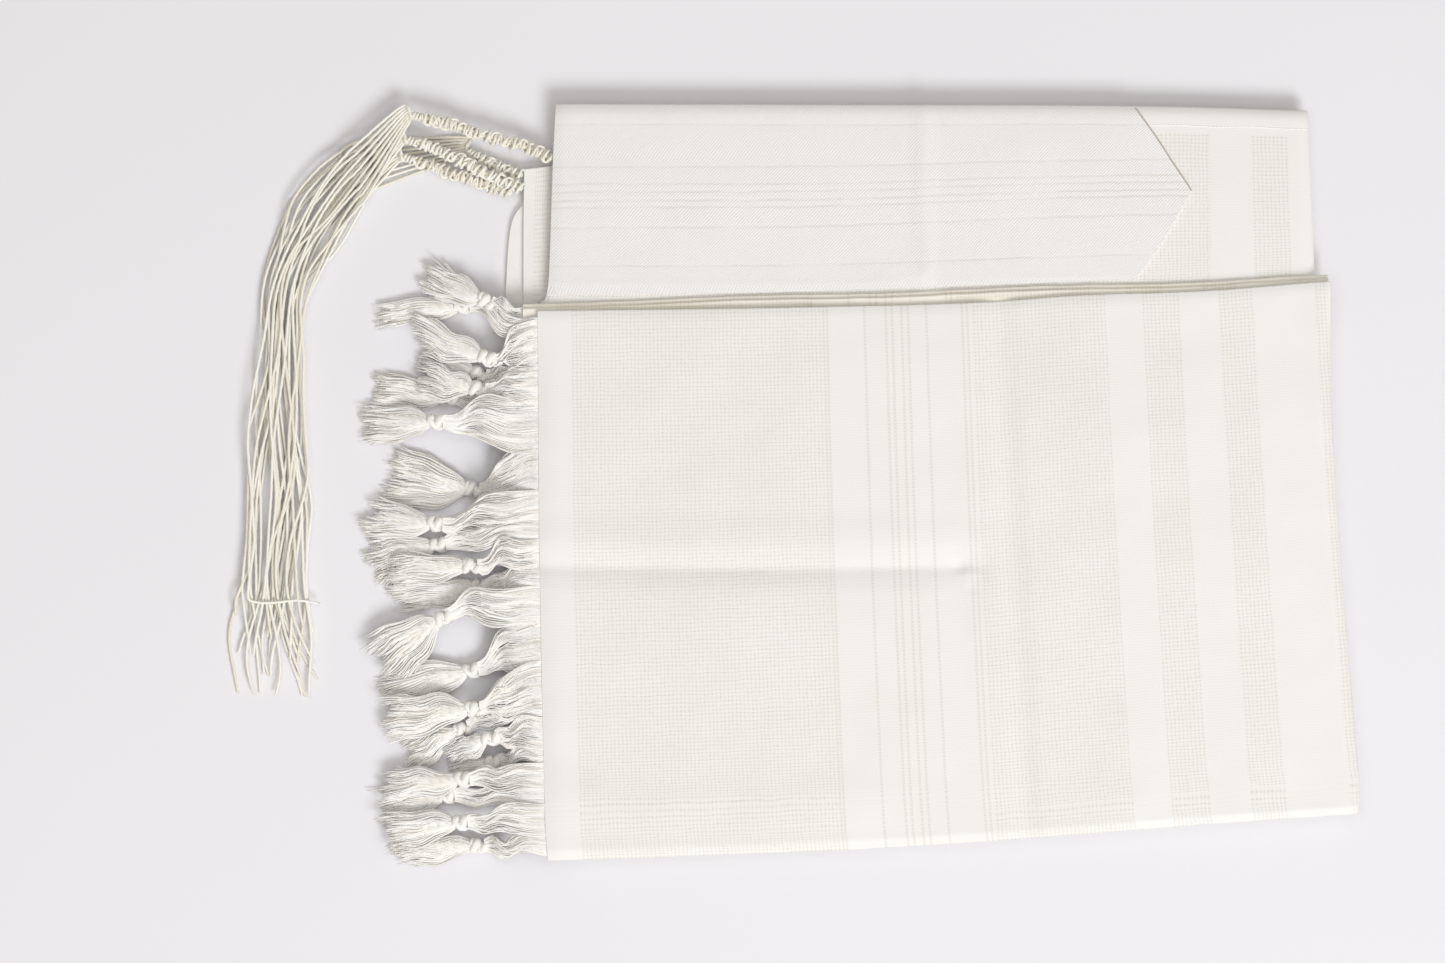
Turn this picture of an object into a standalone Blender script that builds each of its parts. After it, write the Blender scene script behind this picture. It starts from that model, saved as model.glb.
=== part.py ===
"""A tallit prayer shawl, folded and lying flat, with its atarah, fringe and four tzitzit.

The shawl is folded in four along its length and in three across it, and lies on a flat
surface at z = 0. +X is to the right along the neckband, +Y is towards the neckband's edge,
and the origin is under the middle of the folded stack. Sizes are in millimetres here and
are turned to metres when a mesh is made.
"""
import math

import bmesh
import bpy
from mathutils import Vector

MM = 0.001

# Cloth and clearances
CLOTH = 1.4            # thickness of a shown layer, with the air under its weave
GAP = 0.3              # clearance between pieces that touch
LOWER_STACK = 11.5     # height of the folded layers under the neckband
FRONT_STACK = 17.5     # height of the folded layers under the front panel
FRONT_WIDTH = 411.0    # rough sizes of the two panels, which turn a share into a distance
FRONT_DEPTH = 286.0
UPPER_WIDTH = 391.0
UPPER_DEPTH = 112.0
HEM_TOP_Y = 90.0       # where the hem comes out from under the lips

# Edges of the front panel, from left to right or from top to bottom
FRONT_TOP = ((-211.6, 88.9), (-96.2, 90.4), (7.8, 92.8), (70.2, 97.0), (132.1, 99.1), (199.7, 104.3))
FRONT_BOTTOM = ((-206.4, -196.3), (-85.8, -192.1), (14.0, -186.7), (138.8, -177.1), (214.5, -171.9))
FRONT_LEFT = ((-211.6, 88.9), (-210.6, -40.3), (-208.0, -165.1), (-206.4, -196.3))
FRONT_RIGHT = ((199.7, 104.3), (201.8, 15.1), (207.0, -61.1), (214.8, -153.1), (214.5, -171.9))

# Edges of the upper panel; its bottom edge runs under the fold lips
UPPER_TOP = ((-202.3, 196.8), (-52.0, 196.4), (97.8, 195.8), (188.8, 193.4))
UPPER_BOTTOM = ((-208.6, 85.0), (-96.2, 85.5), (70.2, 91.5), (193.0, 98.5))
UPPER_LEFT = ((-202.3, 196.8), (-203.8, 167.7), (-208.0, 94.9), (-208.6, 85.0))
UPPER_RIGHT = ((188.8, 193.4), (192.4, 107.9), (193.0, 98.5))

# The neckband's pointed end and its lower edge
ARROW_TOP = (97.8, 195.5)
ARROW_TIP = (127.9, 152.1)
ARROW_FOOT = (99.3, 104.6)
BAND_THICKNESS = 1.1

# Upper edge of the fold lips that look out above the front panel
LIP_EDGE = ((-219.4, 92.8), (-96.2, 97.0), (-8.3, 99.6), (70.2, 102.7), (132.6, 104.3), (199.2, 107.9))
LIP_DEPTH = 9.0

# Places of the creases, measured on the surface
CROSS_CREASE_Y = -44.0       # valley from the hem to the pucker
CROSS_CREASE_END_X = 14.0
LONG_TROUGH_X = 28.5         # soft trough over the whole front panel
BAND_RIDGE_X = -10.4         # pinched fold across the neckband: its ridge and its valley
BAND_VALLEY_X = -4.2

# Rows: one tassel each. knot and tip are centres, spread is the tips' width,
# hem is where its yarns leave the hem and reach is their width there, level is 0 or 1,
# and tip_z is the height of its lowest locks.
TASSEL_COLUMNS = ("knot_x", "knot_y", "tip_x", "tip_y", "spread", "hem_y", "reach", "level", "tip_z")
TASSELS = (
    (-239.2, 94.5, -268.6, 107.1, 13.0, 87.5, 5.0, 1, 3.4),
    (-251.1, 91.8, -294.0, 87.1, 8.1, 80.9, 7.0, 0, 1.1),
    (-238.2, 64.7, -274.0, 78.5, 13.0, 75.1, 14.0, 1, 6.6),
    (-242.8, 56.4, -275.4, 67.6, 12.0, 61.6, 10.0, 0, 1.1),
    (-242.8, 48.7, -271.7, 54.9, 13.0, 50.7, 13.5, 1, 7.0),
    (-257.9, 44.5, -296.4, 48.6, 11.8, 44.9, 7.0, 0, 1.1),
    (-264.7, 31.5, -300.8, 30.4, 15.0, 29.5, 20.0, 1, 1.6),
    (-246.0, -3.4, -287.5, 2.3, 24.0, 7.0, 21.8, 0, 1.1),
    (-264.7, -21.7, -300.0, -19.0, 14.1, -11.4, 10.9, 1, 3.4),
    (-263.6, -32.5, -299.8, -41.6, 20.0, -23.4, 11.0, 0, 1.1),
    (-246.5, -43.5, -287.3, -46.0, 12.2, -36.6, 10.4, 1, 7.0),
    (-242.3, -54.3, -286.8, -60.2, 11.4, -49.1, 12.6, 0, 1.1),
    (-261.6, -70.5, -293.5, -94.2, 22.0, -64.2, 15.6, 1, 6.4),
    (-246.5, -98.0, -289.1, -110.2, 18.0, -84.0, 19.8, 0, 1.1),
    (-245.4, -117.9, -288.0, -123.5, 17.7, -105.8, 18.8, 1, 6.8),
    (-251.6, -128.7, -277.7, -142.0, 14.0, -117.5, 6.0, 0, 1.1),
    (-236.6, -133.3, -256.3, -141.6, 8.5, -130.5, 12.0, 1, 5.0),
    (-235.6, -146.0, -252.7, -150.4, 8.0, -139.0, 8.0, 0, 1.1),
    (-250.6, -154.7, -291.2, -158.7, 12.0, -152.4, 9.9, 1, 6.4),
    (-258.9, -163.5, -292.2, -169.0, 12.2, -162.3, 9.0, 0, 1.1),
    (-251.7, -177.1, -291.7, -182.5, 14.6, -175.5, 12.0, 1, 7.0),
    (-243.3, -189.5, -288.6, -192.4, 11.0, -188.0, 9.0, 0, 1.1),
)
KNOT_RADIUS = 3.3
KNOT_LENGTH = 8.0
LOCK_RADIUS = 1.2            # a lock of yarns, at its thickest
LEVEL_KNOT_Z = (4.2, 11.8)   # height of a knot's centre on each level
LEVEL_HEM_Z = (7.0, 16.2)    # height of its yarns at the hem
LOCK_LAYER = 3.1             # the upper locks lie this much above the lower ones

# The loose strings of the tzitzit run between two edges: outer x and y, then inner x and y
STRING_RUN = (
    (-302.6, 182.8, -295.4, 154.2),
    (-324.0, 163.5, -307.8, 137.0),
    (-340.6, 142.2, -317.2, 120.9),
    (-353.1, 108.4, -331.3, 95.9),
    (-355.7, 76.7, -334.4, 76.7),
    (-358.8, 49.1, -335.4, 49.1),
    (-361.4, 22.1, -334.4, 23.7),
    (-361.4, -6.5, -331.8, -10.2),
    (-362.4, -32.5, -333.8, -32.5),
    (-365.0, -57.9, -334.4, -58.1),
    (-369.7, -83.9, -329.2, -84.5),
    (-373.4, -110.9, -320.9, -113.1),
)
STRING_RADIUS = 0.83
STRING_LAYER = 2.05          # height between the strings of one tzitzit and the next
FLOOR_CLEAR = 1.25           # height of the lowest strings' middles
EARLY_LIFT = (0.0, 0.0, 1.3, 2.6)   # how much higher each layer starts, at its knot
FAN_SHIFT = (0.0, 0.0, 0.0, 0.9)    # how many lanes each layer fans inwards, away from the top edge
STEM_RADIUS = 2.5
STEM_KNOT_RADIUS = 3.2

# Routes of the four wound stems from the cloth's corners, and the height of each point
STEMS = {
    "tzitzit_b": ((-220.4, 160.4, 4.9), (-233.0, 164.6, 3.6), (-239.5, 167.5, 3.4), (-244.0, 170.0, 3.4)),
    "tzitzit_d": ((-226.4, 150.6, 5.8), (-240.2, 155.8, 5.6), (-255.8, 160.4, 5.6), (-268.9, 165.4, 5.6),
                  (-276.8, 168.0, 5.6)),
    "tzitzit_c": ((-220.4, 152.9, 9.6), (-233.0, 158.0, 9.2), (-249.6, 166.3, 8.8), (-263.7, 173.4, 8.8),
                  (-274.7, 176.9, 8.8)),
    "tzitzit_a": ((-204.9, 168.6, 8.5), (-217.4, 174.4, 10.0), (-235.8, 179.4, 11.2), (-249.6, 183.8, 11.4),
                  (-261.6, 187.8, 11.4), (-271.8, 190.0, 11.4)),
}


def finish(name, colour, roughness):
    """A plain cloth finish with the cotton's or wool's colour."""
    material = bpy.data.materials.new(name)
    material.use_nodes = True
    shader = material.node_tree.nodes["Principled BSDF"]
    shader.inputs["Base Color"].default_value = (*colour, 1.0)
    shader.inputs["Roughness"].default_value = roughness
    shader.inputs["Metallic"].default_value = 0.0
    return material


def spline(points, t):
    """The point at t from 0 to 1 on a smooth curve through points, spaced by their distance."""
    points = [Vector(p) for p in points]
    marks = [0.0]
    for first, second in zip(points, points[1:]):
        marks.append(marks[-1] + (second - first).length)
    place = min(max(t, 0.0), 1.0) * marks[-1]
    span = 0
    while span < len(points) - 2 and place > marks[span + 1]:
        span += 1
    local = (place - marks[span]) / (marks[span + 1] - marks[span])
    p1 = points[span]
    p2 = points[span + 1]
    p0 = points[span - 1] if span > 0 else p1 * 2 - p2
    p3 = points[span + 2] if span + 2 < len(points) else p2 * 2 - p1
    return 0.5 * (2 * p1 + (p2 - p0) * local + (2 * p0 - 5 * p1 + 4 * p2 - p3) * local ** 2
                  + (3 * p1 - p0 - 3 * p2 + p3) * local ** 3)


def patch(top, bottom, left, right):
    """A surface between four edges: a function of u across and v down."""
    corners = [Vector(p) for p in (top[0], top[-1], bottom[0], bottom[-1])]

    def place(u, v):
        across = spline(top, u) * (1 - v) + spline(bottom, u) * v
        down = spline(left, v) * (1 - u) + spline(right, v) * u
        sides = (corners[0] * (1 - u) * (1 - v) + corners[1] * u * (1 - v)
                 + corners[2] * (1 - u) * v + corners[3] * u * v)
        return across + down - sides

    return place


def bump(distance, width):
    """A smooth hump, 1 in its middle and 0 from width on."""
    if abs(distance) >= width:
        return 0.0
    return 0.5 + 0.5 * math.cos(math.pi * distance / width)


def edge_drop(distance, depth, width):
    """How far a cloth rounds down near its edge."""
    return depth * (1 - distance / width) ** 2 if distance < width else 0.0


def front_height(u, v, point):
    """Underside of the front panel: level on the stack, with its creases and rounded edges."""
    across = point.x + 0.05 * (point.y - HEM_TOP_Y)
    below_lips = min(v * FRONT_DEPTH / 30, 1)
    height = FRONT_STACK + GAP + 1.7
    fade = 1 - min(max((point.x - CROSS_CREASE_END_X) / 12, 0), 1)
    height -= 1.3 * bump(point.y - CROSS_CREASE_Y, 9) * fade
    height += 0.5 * bump(point.y - CROSS_CREASE_Y - 16, 14) * fade
    height -= 1.1 * bump(across - LONG_TROUGH_X, 10)
    height += 0.5 * bump(across - LONG_TROUGH_X + 17, 14)
    height += 0.35 * math.sin(point.y / 27 + point.x / 70)
    height -= edge_drop(u * FRONT_WIDTH, 1.4, 10) * below_lips
    height -= edge_drop((1 - u) * FRONT_WIDTH, 3.2, 7) * below_lips
    height -= edge_drop(v * FRONT_DEPTH, 0.9, 5)
    height -= edge_drop((1 - v) * FRONT_DEPTH, 3.0, 7)
    return height


def upper_height(point, u, v):
    """Underside of the upper panel, with the pinched fold and its rounded edges."""
    height = LOWER_STACK + GAP
    height += 0.9 * bump(point.x - BAND_RIDGE_X, 9) * (1 - min(max((v - 0.78) / 0.1, 0), 1))
    height += 0.25 * (1 + math.sin(point.x / 31)) * bump(v - 0.5, 0.6)
    height -= edge_drop(v * UPPER_DEPTH, 2.2, 6)
    height -= edge_drop((1 - u) * UPPER_WIDTH, 2.2, 6)
    height -= edge_drop(u * UPPER_WIDTH, 1.2, 6)
    return height


def build_object(name, mesh_points, faces, material, smooth_angle=40):
    """One named object from points in millimetres and faces that close a body."""
    mesh = bpy.data.meshes.new(name)
    mesh.from_pydata([tuple(p * MM for p in point) for point in mesh_points], [], faces)
    work = bmesh.new()
    work.from_mesh(mesh)
    bmesh.ops.recalc_face_normals(work, faces=work.faces)
    work.to_mesh(mesh)
    work.free()
    mesh.shade_smooth()
    mesh.set_sharp_from_angle(angle=math.radians(smooth_angle))
    mesh.materials.append(material)
    thing = bpy.data.objects.new(name, mesh)
    bpy.context.scene.collection.objects.link(thing)
    return thing


def wall(name, place, stations_u, stations_v, thickness, material, round_out=0.3):
    """A closed cloth wall: place(u, v) gives a point of its underside."""
    wide = len(stations_u)
    deep = len(stations_v)
    under = [place(u, v) for v in stations_v for u in stations_u]
    over = [p + Vector((0, 0, thickness)) for p in under]
    rim = [(0, i) for i in range(wide)]
    rim += [(j, wide - 1) for j in range(1, deep)]
    rim += [(deep - 1, i) for i in range(wide - 2, -1, -1)]
    rim += [(j, 0) for j in range(deep - 2, 0, -1)]
    middle = []
    centre = sum(under, Vector()) / len(under)
    for j, i in rim:
        low = under[j * wide + i]
        sideways = Vector(((i == wide - 1) - (i == 0), (j == 0) - (j == deep - 1), 0))
        if sideways.length == 0:
            sideways = (low - centre) * Vector((1, 1, 0))
        middle.append(low + Vector((0, 0, thickness / 2)) + sideways.normalized() * round_out)
    points = under + over + middle
    faces = []
    top_start = len(under)
    rim_start = 2 * len(under)
    for j in range(deep - 1):
        for i in range(wide - 1):
            a = j * wide + i
            faces.append((a, a + 1, a + 1 + wide, a + wide))
            faces.append(tuple(top_start + k for k in (a, a + wide, a + 1 + wide, a + 1)))
    for k in range(len(rim)):
        n = (k + 1) % len(rim)
        a = rim[k][0] * wide + rim[k][1]
        b = rim[n][0] * wide + rim[n][1]
        faces.append((a, b, rim_start + n, rim_start + k))
        faces.append((rim_start + k, rim_start + n, top_start + b, top_start + a))
    return build_object(name, points, faces, material)


def steps(count, extra=()):
    """Even stations from 0 to 1, with extra ones where a crease needs them."""
    marks = {i / count for i in range(count + 1)} | set(extra)
    marks = sorted(marks)
    kept = [marks[0]]
    for mark in marks[1:]:
        if mark - kept[-1] > 0.006:
            kept.append(mark)
    return kept


def stack_ring(front, inset, height, shift):
    """One outline of the stack at a height, from its lower left corner round by the top."""
    top = FRONT_TOP if front else UPPER_TOP
    points = []
    side_steps = 7
    shoulder = 3
    for k in range(side_steps):
        v = 1 - k / side_steps
        points.append(spline(FRONT_LEFT, 0.04 + 0.96 * v))
    if front:
        count = 2 * shoulder + 10
        for k in range(count):
            p = spline(top, k / (count - 1))
            points.append(Vector((p.x, p.y - 8.0)))
    else:
        for k in range(shoulder):
            points.append(spline(UPPER_LEFT, 1 - (k + 0.3) / shoulder * 0.97))
        for k in range(10):
            points.append(spline(top, k / 9))
        for k in range(shoulder):
            points.append(spline(UPPER_RIGHT, (k + 1) / (shoulder + 0.3)))
    for k in range(side_steps):
        points.append(spline(FRONT_RIGHT, 0.04 + 0.96 * (k + 1) / side_steps))
    for k in range(1, 9):
        points.append(spline(FRONT_BOTTOM, 1 - k / 9))
    centre = Vector((0, -40.0)) if front else Vector((-4.0, 0.0))
    half = Vector((205.0, 145.0)) if front else Vector((205.0, 195.0))
    moved = []
    for p in points:
        away = p - centre
        scaled = Vector((away.x * (1 - inset / half.x), away.y * (1 - inset / half.y)))
        moved.append(Vector((centre.x + scaled.x + shift, centre.y + scaled.y, height)))
    return moved


def make_stack(material):
    """The hidden layers: one rounded solid, with a groove between each fold and the next."""
    rings = [stack_ring(False, 3.2, 0.0, 0.0)]
    folds = 4
    rise = LOWER_STACK / folds
    for k in range(folds):
        low = k * rise
        shift = (0.3, -0.4, 0.4, -0.2)[k]
        out = 2.0 if k < folds - 1 else 3.4
        rings.append(stack_ring(False, out, low + 0.7, shift))
        rings.append(stack_ring(False, out + (k == folds - 1) * 1.4, low + rise - 0.9, shift))
        rings.append(stack_ring(False, 3.6 if k < folds - 1 else 7.6, low + rise, 0.0))
    folds = 2
    rise = (FRONT_STACK - LOWER_STACK) / folds
    rings.append(stack_ring(True, 17.0, LOWER_STACK, 0.0))
    for k in range(folds):
        low = LOWER_STACK + k * rise
        rings.append(stack_ring(True, 2.6 + 1.6 * k, low + 0.8, 0.2 - 0.3 * k))
        rings.append(stack_ring(True, 2.8 + 3.0 * k, low + rise - 0.8, 0.2 - 0.3 * k))
        rings.append(stack_ring(True, 4.2 + 4.4 * k, low + rise, 0.0))
    count = len(rings[0])
    points = [p for ring in rings for p in ring]
    faces = []
    for r in range(len(rings) - 1):
        for k in range(count):
            n = (k + 1) % count
            faces.append((r * count + k, r * count + n, (r + 1) * count + n, (r + 1) * count + k))
    faces.append(tuple(range(count)))
    faces.append(tuple((len(rings) - 1) * count + k for k in range(count)))
    return build_object("folded_stack", points, faces, material, 30)


def make_front_panel(material):
    """The topmost layer, with the cross crease, the long trough and rounded edges."""
    surface = patch(FRONT_TOP, FRONT_BOTTOM, FRONT_LEFT, FRONT_RIGHT)

    def place(u, v):
        flat = surface(u, v)
        return Vector((flat.x, flat.y, front_height(u, v, flat)))

    near_crease = [(HEM_TOP_Y - CROSS_CREASE_Y + d) / FRONT_DEPTH for d in (-5, 0, 5)]
    near_trough = [(LONG_TROUGH_X + 208 + d) / 415 for d in (-8, 0, 8)]
    across = steps(15, near_trough + [0.008, 0.02, 0.985, 0.994])
    down = steps(11, near_crease + [0.012, 0.98, 0.99])
    return wall("front_panel", place, across, down, CLOTH, material)


UPPER_SURFACE = patch(UPPER_TOP, UPPER_BOTTOM, UPPER_LEFT, UPPER_RIGHT)


def upper_underside(u, v):
    """A point of the upper panel's underside."""
    flat = UPPER_SURFACE(u, v)
    return Vector((flat.x, flat.y, upper_height(flat, u, v)))


UPPER_ACROSS = steps(12, [(x + 205) / 396 for x in (BAND_RIDGE_X - 8, BAND_RIDGE_X, BAND_VALLEY_X)]
                     + [0.015, 0.985])
UPPER_DOWN = steps(5, [0.015, 0.05, 0.86])


def make_upper_panel(material):
    """The layer under the neckband, which shows past the band's point."""
    return wall("upper_panel", upper_underside, UPPER_ACROSS, UPPER_DOWN, CLOTH, material)


def make_atarah(material):
    """The neckband: the upper panel's points moved out, ending in a point on the right."""
    end_v = 0.86
    even_u = 0.70
    tip_v = 0.4

    def place(a, v):
        if v < tip_v:
            end_x = ARROW_TOP[0] + (ARROW_TIP[0] - ARROW_TOP[0]) * v / tip_v
        else:
            end_x = ARROW_TIP[0] + (ARROW_FOOT[0] - ARROW_TIP[0]) * (v - tip_v) / (end_v - tip_v)
        start = UPPER_SURFACE(0, v)
        stop = UPPER_SURFACE(1, v)
        end_u = (end_x - start.x) / (stop.x - start.x)
        u = a if a <= even_u else even_u + (a - even_u) / (1 - even_u) * (end_u - even_u)
        return upper_underside(u, v) + Vector((0, 0, CLOTH + GAP))

    across = [u for u in UPPER_ACROSS if u < even_u - 0.02] + [even_u, 0.85, 1.0]
    down = [v for v in UPPER_DOWN if v <= end_v]
    return wall("atarah", place, across, down, BAND_THICKNESS, material, 0.15)


def make_lip(name, back, low, high, material):
    """A folded edge that looks out above the front panel, with a round nose."""
    nose = (high - low) / 2
    profile = ((-LIP_DEPTH, low), (-nose * 1.2, low), (-nose * 0.3, low + nose * 0.35),
               (0.0, low + nose), (-nose * 0.3, high - nose * 0.35), (-nose * 1.2, high), (-LIP_DEPTH, high))
    stations = 14
    points = []
    for k in range(stations):
        edge = spline(LIP_EDGE, k / (stations - 1))
        wave = 0.35 * math.sin(edge.x / 23)
        for depth, height in profile:
            reach = depth if depth > -LIP_DEPTH else depth + back
            points.append(Vector((edge.x, edge.y - back + reach + wave, height)))
    count = len(profile)
    faces = []
    for k in range(stations - 1):
        for i in range(count):
            n = (i + 1) % count
            a = k * count
            b = a + count
            faces.append((a + i, a + n, b + n, b + i))
    faces.append(tuple(range(count)))
    faces.append(tuple((stations - 1) * count + i for i in range(count)))
    return build_object(name, points, faces, material, 50)


def make_corner_layer(name, top_y, left, right_x, low, thickness, material):
    """A lower layer of the fold that looks out at the left of the neckband."""
    bottom_y = left[-1][1]
    surface = patch(((left[0][0], left[0][1]), (right_x[0], top_y)),
                    ((left[-1][0], bottom_y), (right_x[1], bottom_y)),
                    left, ((right_x[0], top_y), (right_x[1], bottom_y)))

    def place(u, v):
        flat = surface(u, v)
        return Vector((flat.x, flat.y, low))

    return wall(name, place, steps(2), steps(4), thickness, material, 0.4)


def frame_at(points, index):
    """Sideways and upward directions across a path at one of its points."""
    before = points[max(index - 1, 0)]
    after = points[min(index + 1, len(points) - 1)]
    along = (after - before).normalized()
    side = along.cross(Vector((0, 0, 1))).normalized()
    return side, side.cross(along).normalized()


def grow_lock(work, face, path, radii):
    """Draw one face of a head out along a path, so the lock and the head are one body."""
    inner = bmesh.ops.inset_individual(work, faces=[face], thickness=0.12 * LOCK_RADIUS * MM)
    face = face if face.is_valid else inner["faces"][0]
    sides = len(face.verts)
    side, up = frame_at(path, 0)
    middle = face.calc_center_median()
    turn = []
    for loop in face.loops:
        offset = loop.vert.co - middle
        turn.append(math.atan2(offset.dot(up), offset.dot(side)))
    start = turn[0]
    sign = 1 if math.sin(turn[1] - turn[0]) > 0 else -1
    for index in range(1, len(path)):
        made = bmesh.ops.extrude_discrete_faces(work, faces=[face])
        face = made["faces"][0]
        side, up = frame_at(path, index)
        for k, loop in enumerate(face.loops):
            angle = start + sign * k * 2 * math.pi / sides
            offset = side * math.cos(angle) + up * math.sin(angle)
            loop.vert.co = (path[index] + offset * radii[index]) * MM
    return face


def head_mesh(centres, radii, sides):
    """A closed head along centres, with a fan of faces on each end for the locks."""
    work = bmesh.new()
    rings = []
    for index, centre in enumerate(centres):
        side, up = frame_at(centres, index)
        ring = []
        for k in range(sides):
            angle = 2 * math.pi * k / sides
            offset = side * math.cos(angle) + up * math.sin(angle)
            ring.append(work.verts.new((centre + offset * radii[index]) * MM))
        rings.append(ring)
    for first, second in zip(rings, rings[1:]):
        for k in range(sides):
            n = (k + 1) % sides
            work.faces.new((first[k], first[n], second[n], second[k]))
    caps = []
    for ring, centre in ((rings[0], centres[0]), (rings[-1], centres[-1])):
        hub = work.verts.new(centre * MM)
        caps.append([work.faces.new((ring[k], ring[(k + 1) % sides], hub)) for k in range(sides)])
    bmesh.ops.recalc_face_normals(work, faces=work.faces)
    return work, caps[0], caps[1]


def finish_head(name, work, material):
    """Turn a head with its locks into a named object."""
    mesh = bpy.data.meshes.new(name)
    bmesh.ops.recalc_face_normals(work, faces=work.faces)
    work.to_mesh(mesh)
    work.free()
    mesh.shade_smooth()
    mesh.set_sharp_from_angle(angle=math.radians(60))
    mesh.materials.append(material)
    thing = bpy.data.objects.new(name, mesh)
    bpy.context.scene.collection.objects.link(thing)
    return thing


def make_tassel(name, row, material):
    """A knot with locks back to the hem and six splayed locks that end above the floor."""
    place = dict(zip(TASSEL_COLUMNS, row))
    level = place["level"]
    knot = Vector((place["knot_x"], place["knot_y"], LEVEL_KNOT_Z[level]))
    tip = Vector((place["tip_x"], place["tip_y"], place["tip_z"]))
    flat = Vector((tip.x - knot.x, tip.y - knot.y, 0))
    along = (flat.normalized() * 0.75 + Vector((-0.25, 0, 0))).normalized()
    centres = [knot + along * KNOT_LENGTH * t for t in (-0.5, -0.2, 0.2, 0.5)]
    radii = [KNOT_RADIUS * r for r in (0.62, 1.0, 1.0, 0.68)]
    work, hem_cap, tip_cap = head_mesh(centres, radii, 6)
    across = Vector((-flat.y, flat.x, 0)).normalized()
    if across.y < 0:
        across = -across
    for face in tip_cap:
        middle = face.calc_center_median() / MM
        offset = middle - centres[-1]
        lateral = offset.dot(across) / (KNOT_RADIUS * 0.4)
        above = offset.z > 0
        height = tip.z + (LOCK_LAYER if above else 0)
        share = (1.0 if above else 0.85) * max(min(lateral * 1.2, 1), -1)
        end = tip + across * share * place["spread"] * 0.5
        end += flat.normalized() * (3.0 * math.cos(3 * share + knot.y) - (3 if above else 0))
        bend = across * 1.2 * math.sin(knot.y)
        start = middle + along * 0.4
        one = middle + along * 5 + across * lateral * 2.1
        one.z = middle.z + (height - middle.z) * 0.25
        two = knot.lerp(end, 0.62) + across * lateral * 2.1 + bend
        two.z = height + 0.3
        end.z = height
        route = [start, one, two, end]
        path = [middle] + [spline(route, t) for t in (0.12, 0.36, 0.7, 1.0)]
        thick = [0, 0.62, 1.0, 1.0, 0.4]
        grow_lock(work, face, path, [LOCK_RADIUS * t for t in thick])
    hem_x = spline(FRONT_LEFT, (HEM_TOP_Y - place["hem_y"]) / FRONT_DEPTH).x - 0.9
    if level == 0:
        hem_x += 2.65 + 0.062 * max(place["hem_y"] - 45, 0)
    elif place["hem_y"] > LIP_EDGE[0][1] - LIP_DEPTH:
        hem_x = LIP_EDGE[0][0] - 0.9
    for face, lateral in ((hem_cap[1], 0), (hem_cap[3], -1), (hem_cap[5], 1)):
        middle = face.calc_center_median() / MM
        if (hem_cap[5].calc_center_median() / MM - centres[0]).y < 0:
            lateral = -lateral
        end = Vector((hem_x, place["hem_y"] + place["reach"] * 0.5 * lateral,
                      LEVEL_HEM_Z[level] + (1.8 if lateral == 0 else 0)))
        start = middle - along * 0.4
        one = middle - along * 4
        one.z = middle.z + 0.6
        two = middle.lerp(end, 0.6)
        two.z = end.z - 0.4
        route = [start, one, two, end]
        path = [middle] + [spline(route, t) for t in (0.15, 0.6, 1.0)]
        grow_lock(work, face, path, [LOCK_RADIUS * t for t in (0, 0.6, 0.85, 0.75)])
    return finish_head(name, work, material)


def run_point(share, lane):
    """A point of the strings' run: share along it, lane from its outer to its inner edge."""
    outer = spline([row[:2] for row in STRING_RUN], share)
    inner = spline([row[2:] for row in STRING_RUN], share)
    return outer.lerp(inner, lane)


def make_stem(name, route, material):
    """A wound and knotted stem that comes out of a corner of the cloth."""
    spans = 12
    centres = [spline(route, k / spans) for k in range(spans + 1)]
    radii = [STEM_KNOT_RADIUS if k % 3 == 1 else STEM_RADIUS for k in range(spans + 1)]
    radii[0] = STEM_RADIUS * 0.8
    work = head_mesh(centres, radii, 8)[0]
    return finish_head(name, work, material)


def make_strings(name, route, layer, material):
    """The last knot of a tzitzit, with its eight loose strings fused into it."""
    stem_end = spline(route, 1)
    along = stem_end - spline(route, 0.95)
    along.z = 0
    along.normalize()
    centres = [stem_end + along * (GAP + reach) for reach in (0, 1.4, 3.2, 4.4)]
    knot_end = centres[-1]
    radii = [STEM_RADIUS * share for share in (0.8, 1.15, 1.15, 1.0)]
    work, _, end_cap = head_mesh(centres, radii, 8)
    towards = run_point(0.12, 0.5) - Vector((stem_end.x, stem_end.y))
    turn = (along + Vector((towards.x, towards.y, 0)).normalized()).normalized()
    inward = Vector((-turn.y, turn.x, 0))
    end_cap.sort(key=lambda face: face.calc_center_median().dot(inward + Vector((0, 0, -0.2))))
    lanes = len(end_cap)
    segments = 15
    height = FLOOR_CLEAR + STRING_LAYER * layer
    floor_height = FLOOR_CLEAR + STRING_LAYER * (layer // 2)
    early_lift = EARLY_LIFT[layer]
    for lane_number, face in enumerate(end_cap):
        middle = face.calc_center_median() / MM
        first = knot_end + (middle - knot_end) * 1.15 + along * 3
        second = knot_end + along * 11 + inward * 2.1 * (lane_number - (lanes - 1) / 2 + FAN_SHIFT[layer])
        second.z = height + early_lift
        path = [middle, first, second]
        lane = (lane_number * 2 + layer % 2 + 0.6) / (2 * lanes + 0.4)
        reach = 1.0 - 0.022 * ((lane_number * 3 + layer * 2) % 5)
        for k in range(segments):
            share = reach * (k + 0.4) / (segments - 0.6)
            swing = 0.05 * math.sin(share * 9 + layer * 1.9)
            swing *= min(k / 2, 1) * max(min((0.7 - share) / 0.2, 1), 0)
            place = run_point(share, lane + swing)
            settle = min(max((share - 0.80) / 0.15, 0), 1)
            lift = early_lift * max(1 - share / 0.16, 0)
            path.append(Vector((place.x, place.y, height + lift + (floor_height - height) * settle)))
        radii = [0.0, 0.52, 0.75] + [1.0] * (segments - 1) + [0.55]
        grow_lock(work, face, path, [STRING_RADIUS * share for share in radii])
    return finish_head(name, work, material)


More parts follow.
